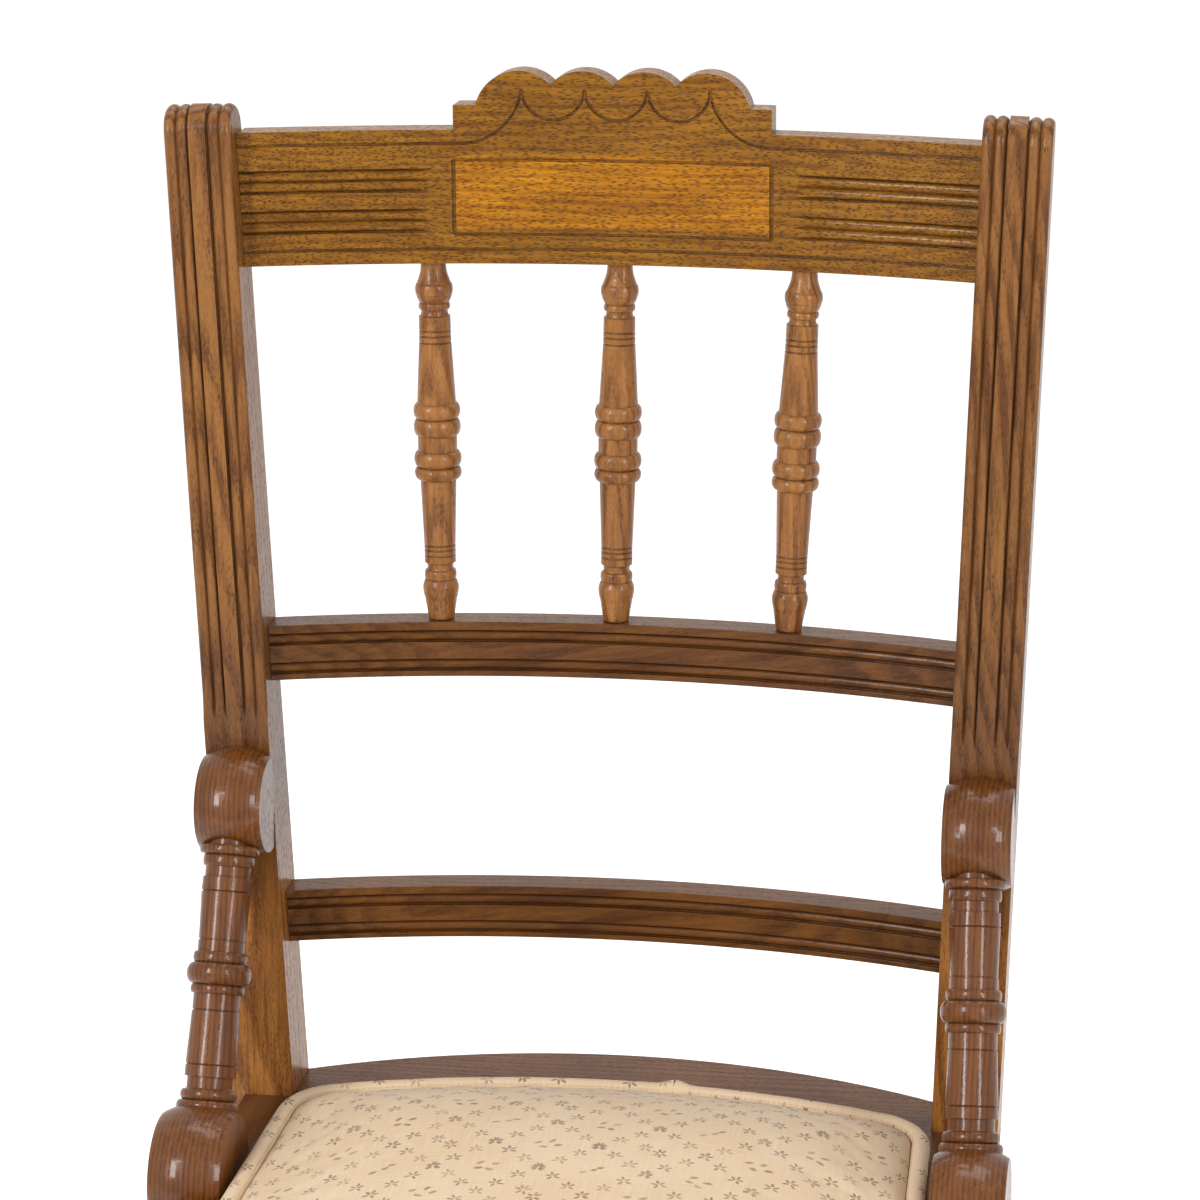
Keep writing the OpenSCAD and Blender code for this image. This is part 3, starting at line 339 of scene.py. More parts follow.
def leaves(point, marks, length, width):
    """Least leaf distance: below 1 is inside a leaf."""
    return reduce(least, [vec("LENGTH", flow(point.id_data, "ShaderNodeMapping", {
        "Vector": point, "Location": (x, y, 0.0), "Rotation": (0.0, 0.0, turn),
        "Scale": (length, width, 1.0)}, vector_type="TEXTURE")) for x, y, turn in marks])


@cache
def sprig_group():
    """Small sprigs on a diamond trellis with four larger motifs between, as a mask. Vector in metres."""
    tree, given, out = open_group("sprig_print", "ShaderNodeTree", [
        ("Vector", VECTOR, None), ("Width", FLOAT, 0.104), ("Depth", FLOAT, 0.108)],
        [("Mask", FLOAT)])
    wobble = noise_at(given["Vector"], 55.0, 1.0, output="Color")
    axes = parts(vec("ADD", given["Vector"], scaled(vec("SUBTRACT", wobble, GREY), 0.003)))
    u, v = over(axes[0], given["Width"]), over(axes[1], given["Depth"])
    s, t = plus(u, v), minus(u, v)
    half_w, half_d = (times(given[side], 0.5 / MM) for side in ("Width", "Depth"))

    def local(value, pitch, offset):
        """Centred remainder and the number of its cell."""
        steps = over(minus(value, offset), pitch)
        number = calc("ROUND", steps)
        return times(minus(steps, number), pitch), number

    def turned(ds, dt, numbers, spread):
        """Place in the cell in millimetres, turned by chance."""
        where = xyz(times(plus(ds, dt), half_w), times(minus(ds, dt), half_d))
        chance = add(tree, "ShaderNodeTexWhiteNoise", {"Vector": xyz(*numbers)}).outputs["Value"]
        return flow(tree, "ShaderNodeVectorRotate", {
            "Vector": where, "Angle": times(minus(chance, 0.5), spread)}, rotation_type="Z_AXIS")

    small = []
    for first, second, marks in ((s, t, SPRIG), (t, s, SPRIG_BACK)):
        a, na = local(first, LINE_STEP, LINE_STEP / 2)
        b, nb = local(second, SPRIG_STEP, SPRIG_STEP / 2)
        place = (a, b) if first is s else (b, a)
        small.append(leaves(turned(*place, (na, nb), 0.9), marks, 1.75, 0.72))
    a, na = local(s, LINE_STEP, 0.0)
    b, nb = local(t, LINE_STEP, 0.0)
    where = turned(a, b, (na, nb), 0.5)
    odd_a, odd_b = (calc("ABSOLUTE", calc("MODULO", n, 2.0)) for n in (na, nb))
    even_a, even_b = (minus(1.0, n) for n in (odd_a, odd_b))
    big = [times(leaves(where, *motif), times(*pick)) for motif, pick in (
        ((TWIN_STARS, 1.8, 0.75), (even_a, even_b)), ((FOUR_OVALS, 2.2, 1.2), (odd_a, odd_b)),
        ((THREE_OVALS, 2.2, 1.2), (even_a, odd_b)), ((OVAL_AND_DOT, 2.0, 1.15), (odd_a, even_b)))]
    blot = noise_at(given["Vector"], 900.0, 1.0)
    nearest = times_plus(minus(blot, 0.5), 0.7, least(least(*small), reduce(plus, big)))
    fade = ramp(noise_at(given["Vector"], 60.0, 1.0), 0.3, 0.65, 0.5, 1.0)
    fill(out, {"Mask": times(ramp(nearest, 0.7, 1.25, 1.0, 0.0), fade)})
    return tree


@cache
def weave_group():
    """Plain weave: warp and weft threads that rise in turn. Vector in metres."""
    tree, given, out = open_group("plain_weave", "ShaderNodeTree", [
        ("Vector", VECTOR, None), ("Pitch", FLOAT, 0.00055)], [("Height", FLOAT), ("Slub", FLOAT)])
    axes = parts(scaled(given["Vector"], over(math.pi, given["Pitch"])))
    warp = noise_at(given["Vector"], (1500.0, 40.0, 1.0), 1.0)
    weft = noise_at(given["Vector"], (40.0, 1500.0, 1.0), 1.0)
    fill(out, {"Height": times(calc("SINE", axes[0]), calc("SINE", axes[1])),
               "Slub": plus(warp, minus(weft, 1.0))})
    return tree


# Materials

ALONG_Z = (0.0, 0.0, 0.0)
ALONG_X = (0.0, -math.pi / 2, 0.0)
ALONG_Y = (math.pi / 2, 0.0, 0.0)
SLANT_X = (0.0, math.radians(-81), 0.0)

# Soft borders of the panel tint and of the post's darkening with its band of painted shade, in metres from
# the middle or above the seat frame.
PANEL_SIDE, PANEL_LOW, PANEL_HIGH = (0.0785, 0.0805), (0.4545, 0.4560), (0.4915, 0.4930)
PANEL_TINT = (1.64, 1.55, 0.74)
DARKER_BEGINS, SHADE_BAND_FADES = (0.10, 0.15), (0.21, 0.31)
# How much darker the post is, and how much more the band of painted shade darkens it.
POST_DARKER, SHADE_BAND = (0.80, 0.81, 0.86), (0.62, 0.58, 0.58)
DARK_WOOD = (0.42, 0.34, 0.28)  # share of the light tone that the dark tone has


def new_material(name):
    material = bpy.data.materials.new(name)
    material.use_nodes = True
    tree = material.node_tree
    return material, tree, tree.nodes["Principled BSDF"]


def use(tree, group, sockets=None):
    return add(tree, "ShaderNodeGroup", sockets, node_tree=group()).outputs


def oak(name, light, turn=ALONG_Z, seed=0.0, pores=0.7, figure=1.0, bend=46.0, gloss=0.28, coat=None,
        tint=None, even=0.0, rings=1.0, shift=(0.0, 0.0, 0.0)):
    """A varnished oak material for one board or turning."""
    settings = bpy.context.scene.oak_settings
    material, tree, surface = new_material(name)
    place = object_place(tree)
    lay = flow(tree, "ShaderNodeMapping", {"Vector": place, "Rotation": turn, "Location": shift})
    wood = use(tree, oak_figure_group, {
        "Vector": lay, "Light": light, "Dark": tinted(light, *DARK_WOOD), "Pore": settings.pore_and_shade,
        "Ring Width": rings * settings.ring_width / MM, "Pore Strength": pores, "Figure": figure,
        "Bend": bend, "Evenness": even, "Seed": seed})
    wear_and_shade = use(tree, wear_and_shade_group)
    colour = wood["Color"] if tint is None else tint(place, wood["Color"])
    # Painted shade and dirt darken the recesses towards the dark stain colour.
    colour = mix(times(wear_and_shade["Recess"], 0.6), colour, settings.pore_and_shade)
    rubbed = [min(1.0, c * 1.5 + 0.03) for c in light]
    fill(surface, {
        "Base Color": mix(times(wear_and_shade["Edge"], 0.4), colour, rubbed), "Roughness": wood["Roughness"],
        "Normal": relief(wood["Height"], 1.0, Normal=wear_and_shade["Normal"]), "Specular IOR Level": gloss,
        "Coat Weight": settings.varnish if coat is None else coat, "Coat Roughness": 0.1})
    return material


def crest_panel(place, colour):
    """Brighter varnish in the incised panel on the crest front."""
    x, _, z = parts(place)
    side = ramp(calc("ABSOLUTE", x), *PANEL_SIDE, 1.0, 0.0)
    low = ramp(z, *(SEAT_TOP + height for height in PANEL_LOW))
    high = ramp(z, *(SEAT_TOP + height for height in PANEL_HIGH), 1.0, 0.0)
    facing = parts(add(place.id_data, "ShaderNodeNewGeometry").outputs["Normal"])[1]
    mask = times(times(side, times(low, high)), ramp(facing, -0.6, -0.2, 1.0, 0.0))
    return mix(mask, colour, PANEL_TINT, "MULTIPLY")


def post_darker_and_shade(place, colour):
    """The post is darker from its square block up, with painted shade in a band just above the block that
    fades out higher up.
    """
    z = parts(place)[2]
    above = ramp(z, *(SEAT_TOP + height for height in DARKER_BEGINS))
    fades = ramp(z, *(SEAT_TOP + height for height in SHADE_BAND_FADES), 1.0, 0.0)
    return mix(times(above, fades), mix(above, colour, POST_DARKER, "MULTIPLY"), SHADE_BAND, "MULTIPLY")


def cotton(name, turn=0.0):
    """Printed plain-weave cotton on the piece's own flat cloth map."""
    settings = bpy.context.scene.pad_settings
    material, tree, surface = new_material(name)
    place = flow(tree, "ShaderNodeUVMap", uv_map="cloth")
    lay = flow(tree, "ShaderNodeMapping", {
        "Vector": place, "Rotation": (0, 0, turn), "Location": (0.011, 0.02, 0.0)})
    sprigs = use(tree, sprig_group, {
        "Vector": lay, "Width": settings.repeat_width, "Depth": settings.repeat_depth})
    weave = use(tree, weave_group, {"Vector": place})
    wear_and_shade = use(tree, wear_and_shade_group, {"Recess Size": 0.005})
    age = ramp(noise_at(place, 14.0, 3.0), 0.35, 0.7)
    base = mix(age, settings.cotton, tinted(settings.cotton, 0.95, 0.92, 0.88))
    threads = times_plus(weave["Slub"], 0.22, 1.0)
    grey = flow(tree, "ShaderNodeCombineColor", {0: threads, 1: threads, 2: threads})
    base = mix(times(sprigs["Mask"], 0.86), mix(1.0, base, grey, "MULTIPLY"), settings.print_ink)
    # Painted shade in the creases by the welt, partly dirt, as a darker brown cotton.
    dust_and_shade = tinted(settings.cotton, 0.50, 0.40, 0.30)
    fill(surface, {
        "Base Color": mix(times(wear_and_shade["Recess"], 0.5), base, dust_and_shade), "Roughness": 0.88,
        "Specular IOR Level": 0.25, "Sheen Weight": 0.12, "Normal": relief(weave["Height"], 0.6, 0.00006)})
    return material


def bare_wood(name, light, turn=ALONG_Z):
    """Unfinished pale wood for board and dowels."""
    material, tree, surface = new_material(name)
    lay = flow(tree, "ShaderNodeMapping", {"Vector": object_place(tree), "Rotation": turn})
    wood = use(tree, oak_figure_group, {
        "Vector": lay, "Light": light, "Dark": tinted(light, 0.7), "Pore": tinted(light, 0.4),
        "Ring Width": 7.0, "Pore Strength": 0.35})
    fill(surface, {"Base Color": wood["Color"], "Roughness": 0.7, "Normal": relief(wood["Height"], 0.8)})
    return material


def old_steel(name):
    """Dull screw steel with brown spots."""
    material, tree, surface = new_material(name)
    spots = ramp(noise_at(object_place(tree), 900.0, 3.0), 0.45, 0.65)
    fill(surface, {"Base Color": mix(spots, (0.42, 0.40, 0.37), (0.17, 0.10, 0.06)),
                   "Roughness": ramp(spots, 0.0, 1.0, 0.38, 0.75), "Metallic": 1.0})
    return material


def batting(name):
    """Off-white cotton wadding."""
    material, tree, surface = new_material(name)
    fluff = noise_at(object_place(tree), 420.0, 6.0, 0.7)
    fill(surface, {"Base Color": mix(fluff, (0.86, 0.82, 0.72), (0.66, 0.60, 0.48)), "Roughness": 0.95,
                   "Normal": relief(fluff, 0.7)})
    return material


def linen(name):
    """Thread of the stitches."""
    material, tree, surface = new_material(name)
    tone = noise_at(object_place(tree), 700.0)
    fill(surface, {"Base Color": mix(tone, (0.78, 0.62, 0.44), (0.6, 0.45, 0.3)), "Roughness": 0.8})
    return material


# Mesh helpers



def link(name, data):
    piece = bpy.data.objects.new(name, data)
    bpy.context.scene.collection.objects.link(piece)
    return piece


def line_mesh(name, points):
    mesh = bpy.data.meshes.new(name)
    mesh.from_pydata(points, [(i, i + 1) for i in range(len(points) - 1)], [])
    return mesh


def tidy_mesh(mesh, sharp=None, merge=1e-6):
    """Joins doubled points, turns the faces outward and sets smooth shading."""
    work = bmesh.new()
    work.from_mesh(mesh)
    bmesh.ops.remove_doubles(work, verts=work.verts, dist=merge)
    bmesh.ops.dissolve_degenerate(work, dist=1e-7, edges=work.edges)
    bmesh.ops.recalc_face_normals(work, faces=work.faces)
    for face in work.faces:
        face.smooth = True
    work.to_mesh(mesh)
    work.free()
    if sharp is not None:
        mesh.set_sharp_from_angle(angle=math.radians(sharp))


def run_tree(name, base, tree, values):
    """Runs a geometry tree on a mesh and returns the result as a plain object."""
    source = link(name + "_base", base)
    modifier = source.modifiers.new("shape", "NODES")
    modifier.node_group = tree
    for item in tree.interface.items_tree:
        if getattr(item, "in_out", "") == "INPUT" and item.name in values:
            modifier[item.identifier] = values[item.name]
    source.update_tag()
    bpy.context.view_layer.update()
    shaped = source.evaluated_get(bpy.context.evaluated_depsgraph_get())
    mesh = bpy.data.meshes.new_from_object(shaped)
    mesh.name = name
    if not mesh.polygons:
        raise RuntimeError(f"{name}: the geometry tree made no faces")
    bpy.data.objects.remove(source)
    return link(name, mesh)


def finish_piece(piece, slot, *nodes):
    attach(piece, BODY)
    if nodes:
        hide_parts(*nodes)


# Geometry trees


def open_shape(name, inputs):
    """Starts a geometry tree that takes a line and a material."""
    return open_group(name, "GeometryNodeTree", [
        ("Geometry", SHAPE, None), *inputs, ("Material", STUFF, None)], [("Geometry", SHAPE)])


def close_shape(given, out, geometry):
    """Ends a geometry tree with real faces of the given material, and returns the tree."""
    tree = out.id_data
    solid = flow(tree, "GeometryNodeRealizeInstances", {0: geometry})
    fill(out, {"Geometry": flow(tree, "GeometryNodeSetMaterial", {
        "Geometry": solid, "Material": given["Material"]})})
    return tree


def merged(geometry):
    return flow(geometry.id_data, "GeometryNodeMergeByDistance", {"Geometry": geometry, "Distance": 1e-6})


def even_line(line, step):
    """Turns an edge line into a curve with points at equal steps."""
    path = flow(line.id_data, "GeometryNodeMeshToCurve", {0: line})
    return flow(line.id_data, "GeometryNodeResampleCurve", {"Curve": path, "Length": step}, mode="LENGTH")


def capture(geometry, label, value):
    """Keeps a value on the points of a geometry and returns both."""
    made = add(geometry.id_data, "GeometryNodeCaptureAttribute", domain="POINT")
    made.capture_items.new("FLOAT", label)
    fill(made, {"Geometry": geometry, label: value})
    return made.outputs["Geometry"], made.outputs[label]


def turning_tree():
    """Revolves a profile of points (x radius, z length) into a turning between two ends."""
    tree, given, out = open_shape("turning", [
        ("Radius", FLOAT, 0.012), ("Length", FLOAT, 0.2), ("Segments", COUNT, 64),
        ("Start", VECTOR, None), ("Direction", VECTOR, None)])
    size = add(tree, "GeometryNodeAttributeDomainSize", {0: given["Geometry"]}, component="MESH")
    rows = size.outputs["Point Count"]
    grid = flow(tree, "GeometryNodeMeshGrid", {
        "Size X": 1.0, "Size Y": 1.0, "Vertices X": plus(given["Segments"], 1.0), "Vertices Y": rows})
    index = flow(tree, "GeometryNodeInputIndex")
    column = calc("FLOOR", over(plus(index, 0.5), rows))
    profile = parts(flow(tree, "GeometryNodeSampleIndex", {
        "Geometry": given["Geometry"], "Value": flow(tree, "GeometryNodeInputPosition"),
        "Index": minus(index, times(column, rows))}, data_type="FLOAT_VECTOR", domain="POINT"))
    angle = times(over(column, given["Segments"]), math.tau)
    radius = times(profile[0], given["Radius"])
    shaped = flow(tree, "GeometryNodeSetPosition", {"Geometry": grid, "Position": xyz(
        times(calc("COSINE", angle), radius), times(calc("SINE", angle), radius),
        times(profile[2], given["Length"]))})
    aim = flow(tree, "FunctionNodeAlignRotationToVector", {"Vector": given["Direction"]}, axis="Z")
    return close_shape(given, out, flow(tree, "GeometryNodeTransform", {
        "Geometry": merged(shaped), "Translation": given["Start"], "Rotation": aim}))


SEAM_PLACE, SEAM_WIDTH = 0.55, 0.035  # where the seam lies on the cord, as shares of its round


def piping_tree():
    """Sweeps a covered cord with a pinched seam along an open loop and stores its flat cloth map."""
    tree, given, out = open_shape("piping", [
        ("Radius", FLOAT, 0.0047), ("Step", FLOAT, 0.002), ("Round Points", COUNT, 24),
        ("Seam Depth", FLOAT, 0.1), ("Unevenness", FLOAT, 0.05), ("Joint Bump", FLOAT, 0.12),
        ("Joint Length", FLOAT, 0.008)])
    line = flow(tree, "GeometryNodeSetCurveNormal", {"Curve": even_line(given["Geometry"], given["Step"])},
                mode="Z_UP")
    run = add(tree, "GeometryNodeSplineParameter").outputs["Length"]
    whole = add(tree, "GeometryNodeSplineLength").outputs["Length"]
    lump = noise_at(flow(tree, "GeometryNodeInputPosition"), 38.0, 1.5)
    swell = times_plus(minus(lump, 0.5), times(given["Unevenness"], 2.0), 1.0)
    joint = over(least(run, minus(whole, run)), given["Joint Length"])
    swell = times_plus(bell(joint), given["Joint Bump"], swell)
    ring = flow(tree, "GeometryNodeCurveArc", {
        "Radius": 1.0, "Start Angle": math.radians(-150), "Sweep Angle": math.tau,
        "Resolution": given["Round Points"]})
    turn = add(tree, "GeometryNodeSplineParameter").outputs["Factor"]
    dent = times(bell(over(minus(turn, SEAM_PLACE), SEAM_WIDTH)), given["Seam Depth"])
    pinched = flow(tree, "GeometryNodeSetPosition", {
        "Geometry": ring, "Position": scaled(flow(tree, "GeometryNodeInputPosition"), minus(1.0, dent))})
    line, along = capture(line, "Along", run)
    profile, around = capture(pinched, "Round", turn)
    tube = flow(tree, "GeometryNodeCurveToMesh", {
        "Curve": line, "Profile Curve": profile, "Fill Caps": True, "Scale": times(swell, given["Radius"])})
    stored = flow(tree, "GeometryNodeStoreNamedAttribute", {
        "Name": "cloth", "Geometry": tube,
        "Value": xyz(along, times(around, times(given["Radius"], math.tau)))},
        data_type="FLOAT2", domain="CORNER")
    return close_shape(given, out, merged(stored))


STITCH_SIZES = (0.85, 1.1)  # least and greatest share of a stitch's length


def stitch_tree():
    """Sets small thread stitches at an even pitch along a line."""
    tree, given, out = open_shape("stitches", [
        ("Pitch", FLOAT, 0.003), ("Length", FLOAT, 0.0019), ("Thread", FLOAT, 0.0006), ("Seed", COUNT, 3)])
    uneven = add(tree, "FunctionNodeRandomValue", {2: STITCH_SIZES[0], 3: STITCH_SIZES[1],
                                                   "Seed": given["Seed"]}, data_type="FLOAT")
    return close_shape(given, out, flow(tree, "GeometryNodeInstanceOnPoints", {
        "Points": even_line(given["Geometry"], given["Pitch"]),
        "Instance": flow(tree, "GeometryNodeMeshUVSphere", {"Segments": 6, "Rings": 4, "Radius": 0.5}),
        "Rotation": flow(tree, "FunctionNodeAlignRotationToVector", {
            "Vector": flow(tree, "GeometryNodeInputTangent")}, axis="X"),
        "Scale": xyz(times(given["Length"], uneven.outputs[1]), given["Thread"], given["Thread"])}))


# Turned spindles

# Rows of a spindle from the top, in thousandths: end, radius at start, radius at end, swell.
SPINDLE_SHARES = [
    (30, 530, 570, -15), (60, 570, 730, -10), (90, 730, 740, 55), (112, 740, 600, 30),
    (131, 600, 600, 60), (149, 590, 630, -50), (186, 660, 670, 0), (191, 670, 670, -50),
    (201, 670, 670, 0), (206, 670, 670, -50), (219, 675, 675, 0), (224, 675, 675, -50),
    (391, 680, 820, 0), (434, 820, 820, 170), (482, 820, 820, 170), (525, 820, 820, 10),
    (569, 820, 820, 180), (605, 820, 800, 180), (788, 760, 665, 0), (793, 665, 665, -50),
    (801, 665, 665, 0), (806, 665, 665, -50), (817, 665, 665, 0), (822, 665, 665, -50),
    (840, 665, 665, 0), (862, 620, 600, -60), (889, 620, 620, 60), (910, 660, 760, 20),
    (940, 760, 690, 20), (1000, 690, 540, 0)]
SPINDLE_GAP = 0.0003
FINE_SWELL = 0.03  # rows that swell more than this get more steps
PEG_CHAMFER = (0.06, 0.004)  # at the tip of a peg, as shares of radius and length
END_FACE = 0.0004  # points this near the end of a solid belong to its end face


def spindle_profile(length, radius, peg_radius, peg_length):
    """Outline points of a spindle and its pegs, as shares of radius and length."""
    peg, tip, gap = peg_radius / radius, peg_length / length, SPINDLE_GAP / length
    blunt, bevel = PEG_CHAMFER
    points = [(0.0, -tip), (peg - blunt, -tip), (peg, -tip + bevel), (peg, gap)]
    start = 0.0
    for row in SPINDLE_SHARES:
        end, r_start, r_end, swell = (value / 1000 for value in row)
        steps = 14 if abs(swell) > FINE_SWELL else 5
        for i in range(steps + 1):
            share = (1 - math.cos(math.pi * i / steps)) / 2
            points.append((r_start + (r_end - r_start) * share + swell * math.sin(math.pi * i / steps),
                           gap + (start + (end - start) * share) * (1 - 2 * gap)))
        start = end
    return points + [(peg, 1 - gap), (peg, 1 + tip - bevel), (peg - blunt, 1 + tip), (0.0, 1 + tip)]


def node_ends(name):
    """Middles of the two end faces of a long CAD solid, upper one first."""
    places = [v.co.copy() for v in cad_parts[name].data.vertices]
    axis = (max(places, key=lambda p: p.z) - min(places, key=lambda p: p.z)).normalized()
    for _ in range(3):
        runs = [p.dot(axis) for p in places]
        first, last = max(runs) - END_FACE, min(runs) + END_FACE
        ends = []
        for cap in ([p for p, r in zip(places, runs) if r > first],
                    [p for p, r in zip(places, runs) if r < last]):
            ends.append(Vector([(min(p[i] for p in cap) + max(p[i] for p in cap)) / 2 for i in range(3)]))
        axis = (ends[0] - ends[1]).normalized()
    return ends


class CHAIR_OT_spindles(bpy.types.Operator):
    """Turns the three back spindles from one profile"""

    bl_idname = "chair.spindles"
    bl_label = "Back Spindles"

    def execute(self, context):
        settings = context.scene.turning_settings
        tree = turning_tree()
        for number, side in enumerate(("left", "middle", "right")):
            name = "spindle_" + side
            upper, lower = node_ends(name)
            direction = (lower - upper).normalized()
            length = (lower - upper).length - 2 * settings.peg_length
            points = spindle_profile(length, settings.spindle_radius, settings.peg_radius,
                                     settings.peg_length)
            material = oak("spindle_oak_" + side, context.scene.oak_settings.amber,
                           seed=3.0 + number, pores=0.6, figure=0.8)
            piece = run_tree(name + "_turning", line_mesh(name, [(r, 0.0, z) for r, z in points]), tree, {
                "Radius": settings.spindle_radius, "Length": length, "Segments": settings.segments,
                "Start": upper + direction * settings.peg_length, "Direction": direction,
                "Material": material})
            tidy_mesh(piece.data, sharp=40)
            finish_piece(piece, "oak_turned", name)
        return {"FINISHED"}


# Wood kept from the frame


def dress(name, material):
    """Gives a CAD node its material."""
    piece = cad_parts[name]
    if not piece.material_slots:
        piece.data.materials.append(material)
    for place in piece.material_slots:
        place.material = material


HIP_LEAN = math.radians(26)


def hip_look(side, seed):
    """Grain of a hip rest along its lean. The rings' middle is put on the rest's own line."""
    low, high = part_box("hip_rest_" + side)
    middle = (Vector(low) + Vector(high)) / 2
    aside = middle.z * math.sin(HIP_LEAN) - middle.y * math.cos(HIP_LEAN) - seed * SEED_STEP[1] * MM
    return {"pores": 0.5, "figure": 0.8, "bend": 7.0, "gloss": 0.2, "coat": 0.3, "rings": 0.6,
            "shift": (0.0, aside, 0.0)}


class CHAIR_OT_wood(bpy.types.Operator):
    """Gives every board and turning of the frame its own oak"""

    bl_idname = "chair.wood"
    bl_label = "Oak Finish"

    def execute(self, context):
        tones = context.scene.oak_settings
        amber, brown = tones.amber, tones.walnut
        slats, turned = tinted(brown, 0.87, 0.82, 0.47), tinted(amber, 0.78, 0.76, 0.78)
        hips = tinted(amber, 0.53, 0.43, 0.34)
        crest = {"pores": 0.8, "figure": 0.7, "gloss": 0.15, "tint": crest_panel, "even": 0.9}
        # The post's tint darkens the post and paints shade in a band low on it.
        post = {"gloss": 0.2, "tint": post_darker_and_shade}
        slat = {"pores": 0.6, "figure": 0.8, "gloss": 0.15}
        board = {"pores": 0.5, "figure": 0.8, "gloss": 0.18}
        lean = (HIP_LEAN, 0.0, 0.0)
        woods = [("crest_rail", "crest", tones.gold, ALONG_X, 1, crest),
                 ("post_left", "post_left", amber, ALONG_Z, 5, post),
                 ("post_right", "post_right", tinted(amber, 0.93), ALONG_Z, 8, post),
                 ("post_plugs", "plug", amber, ALONG_X, 2, {}),
                 ("middle_rail", "middle_rail", slats, SLANT_X, 12, slat),
                 ("lower_rail", "lower_rail", slats, SLANT_X, 14, slat),
                 ("hip_rest_left", "hip_left", hips, lean, 21, hip_look("left", 21)),
                 ("hip_rest_right", "hip_right", hips, lean, 24, hip_look("right", 24)),
                 ("seat_rail_back", "seat_back", brown, ALONG_X, 31, {**board, "pores": 0.75, "even": 0.6}),
                 ("seat_rail_front", "seat_front", brown, ALONG_X, 33, board),
                 ("seat_rail_left", "seat_left", brown, ALONG_Y, 35, board),
                 ("seat_rail_right", "seat_right", brown, ALONG_Y, 37, board),
                 ("front_leg_left", "leg_left", turned, ALONG_Z, 41, {}),
                 ("front_leg_right", "leg_right", turned, ALONG_Z, 43, {})]
        woods += [(name, name, turned, ALONG_X, seed, {"pores": 0.6}) for seed, name in enumerate(
            ("front_stretcher_upper", "front_stretcher_lower", "back_stretcher"), 51)]
        woods += [("side_stretcher_" + name, "side_" + name, turned, ALONG_Y, seed, {"pores": 0.6})
                  for seed, name in enumerate(
                      ("left_upper", "left_lower", "right_upper", "right_lower"), 61)]
        for name, label, light, turn, seed, look in woods:
            dress(name, oak(label + "_oak", light, turn, seed, **look))
        dress("seat_board", bare_wood("board_wood", (0.62, 0.43, 0.24), ALONG_X))
        dress("frame_dowels", bare_wood("dowel_wood", (0.66, 0.47, 0.27), ALONG_Y))
        steel = old_steel("screw_steel")
        for name in ("post_screws", "hip_rest_screws", "seat_board_screws"):
            dress(name, steel)
        return {"FINISHED"}


# Padded seat

PAD_BACK_Y, PAD_BACK_R, PAD_BACK_HALF, PAD_BACK_CORNER = 0.024, 0.480, 0.170, 0.034
PAD_FRONT_Y, PAD_FRONT_R, PAD_FRONT_HALF, PAD_FRONT_CORNER = 0.280, 1.200, 0.180, 0.040
PAD_MIDDLE_Y = (PAD_BACK_Y - PAD_FRONT_Y - PAD_FRONT_CORNER) / 2
SOFT_GAP = 0.0003

# Heights are above the seat frame.
SHOULDER = 0.0115  # where the rolled side of the pad goes over into its crown
WIDE_Z = 0.005  # where the pad is widest
CROWN_FLATNESS = 2.4
ROLL, ROLL_END = 0.014, 68  # radius of the side's roll inward, and its last angle
BOARD_TOP = 0.0098  # underside of the wadding
SEAM_BOTTOM, FOLD_BOTTOM = 0.0015, 0.006  # lowest points that are fitted and gathered
SEAM_HELD, SEAM_FADE = 0.012, 0.004  # height up to which the seam is held, and where that ends above
SIDE_REACH, SIDE_FADE = 0.02, 0.005  # farthest point that is fitted, and the soft end under the shoulder
FILL_CAP = 0.0045  # farthest that the filling moves a point
CLOTH_STEP, CLOTH_FRAMES = 0.0048, 20
COVER_LOWER = 0.003  # the cover starts this much below its crown, and the filling lifts it
WADDING_INSIDE = 0.014  # how far the wadding stays inside the cover and below its crown
LUMP_HEIGHT, LUMP_SCALE = 0.0008, 60.0
GATHER_REACH, GATHER_DEPTH, GATHER_PITCH = 0.045, 0.0011, 0.0105


def arc(cx, cy, r, start, end, count):
    return [(cx + r * math.cos(start + (end - start) * i / count),
             cy + r * math.sin(start + (end - start) * i / count)) for i in range(count + 1)]


def pad_outline(inset, count=320):
    """Closed outline of the pad drawn in by inset, as evenly spaced points from the back middle."""
    back_cy = PAD_BACK_Y - PAD_BACK_R
    bx = PAD_BACK_HALF - PAD_BACK_CORNER
    by = back_cy + math.sqrt((PAD_BACK_R - PAD_BACK_CORNER) ** 2 - bx * bx)
    fx, fy = PAD_FRONT_HALF - PAD_FRONT_CORNER, -PAD_FRONT_Y
    front_cy = fy + math.sqrt((PAD_FRONT_R - PAD_FRONT_CORNER) ** 2 - fx * fx)
    back_turn = math.asin(bx / (PAD_BACK_R - PAD_BACK_CORNER))
    front_turn = math.asin(fx / (PAD_FRONT_R - PAD_FRONT_CORNER))
    side = math.hypot(fx - bx, fy - by)
    side_turn = math.atan2(fy - by, fx - bx) + math.acos((PAD_BACK_CORNER - PAD_FRONT_CORNER) / side)
    quarter = math.pi / 2
    half = arc(0, back_cy, PAD_BACK_R - inset, quarter, quarter - back_turn, 40)
    half += arc(bx, by, PAD_BACK_CORNER - inset, quarter - back_turn, side_turn, 30)
    half += arc(fx, fy, PAD_FRONT_CORNER - inset, side_turn, front_turn - quarter, 30)
    half += arc(0, front_cy, PAD_FRONT_R - inset, front_turn - quarter, -quarter, 40)
    loop = half + [(-x, y) for x, y in reversed(half[1:-1])]
    return even_points(loop, count)


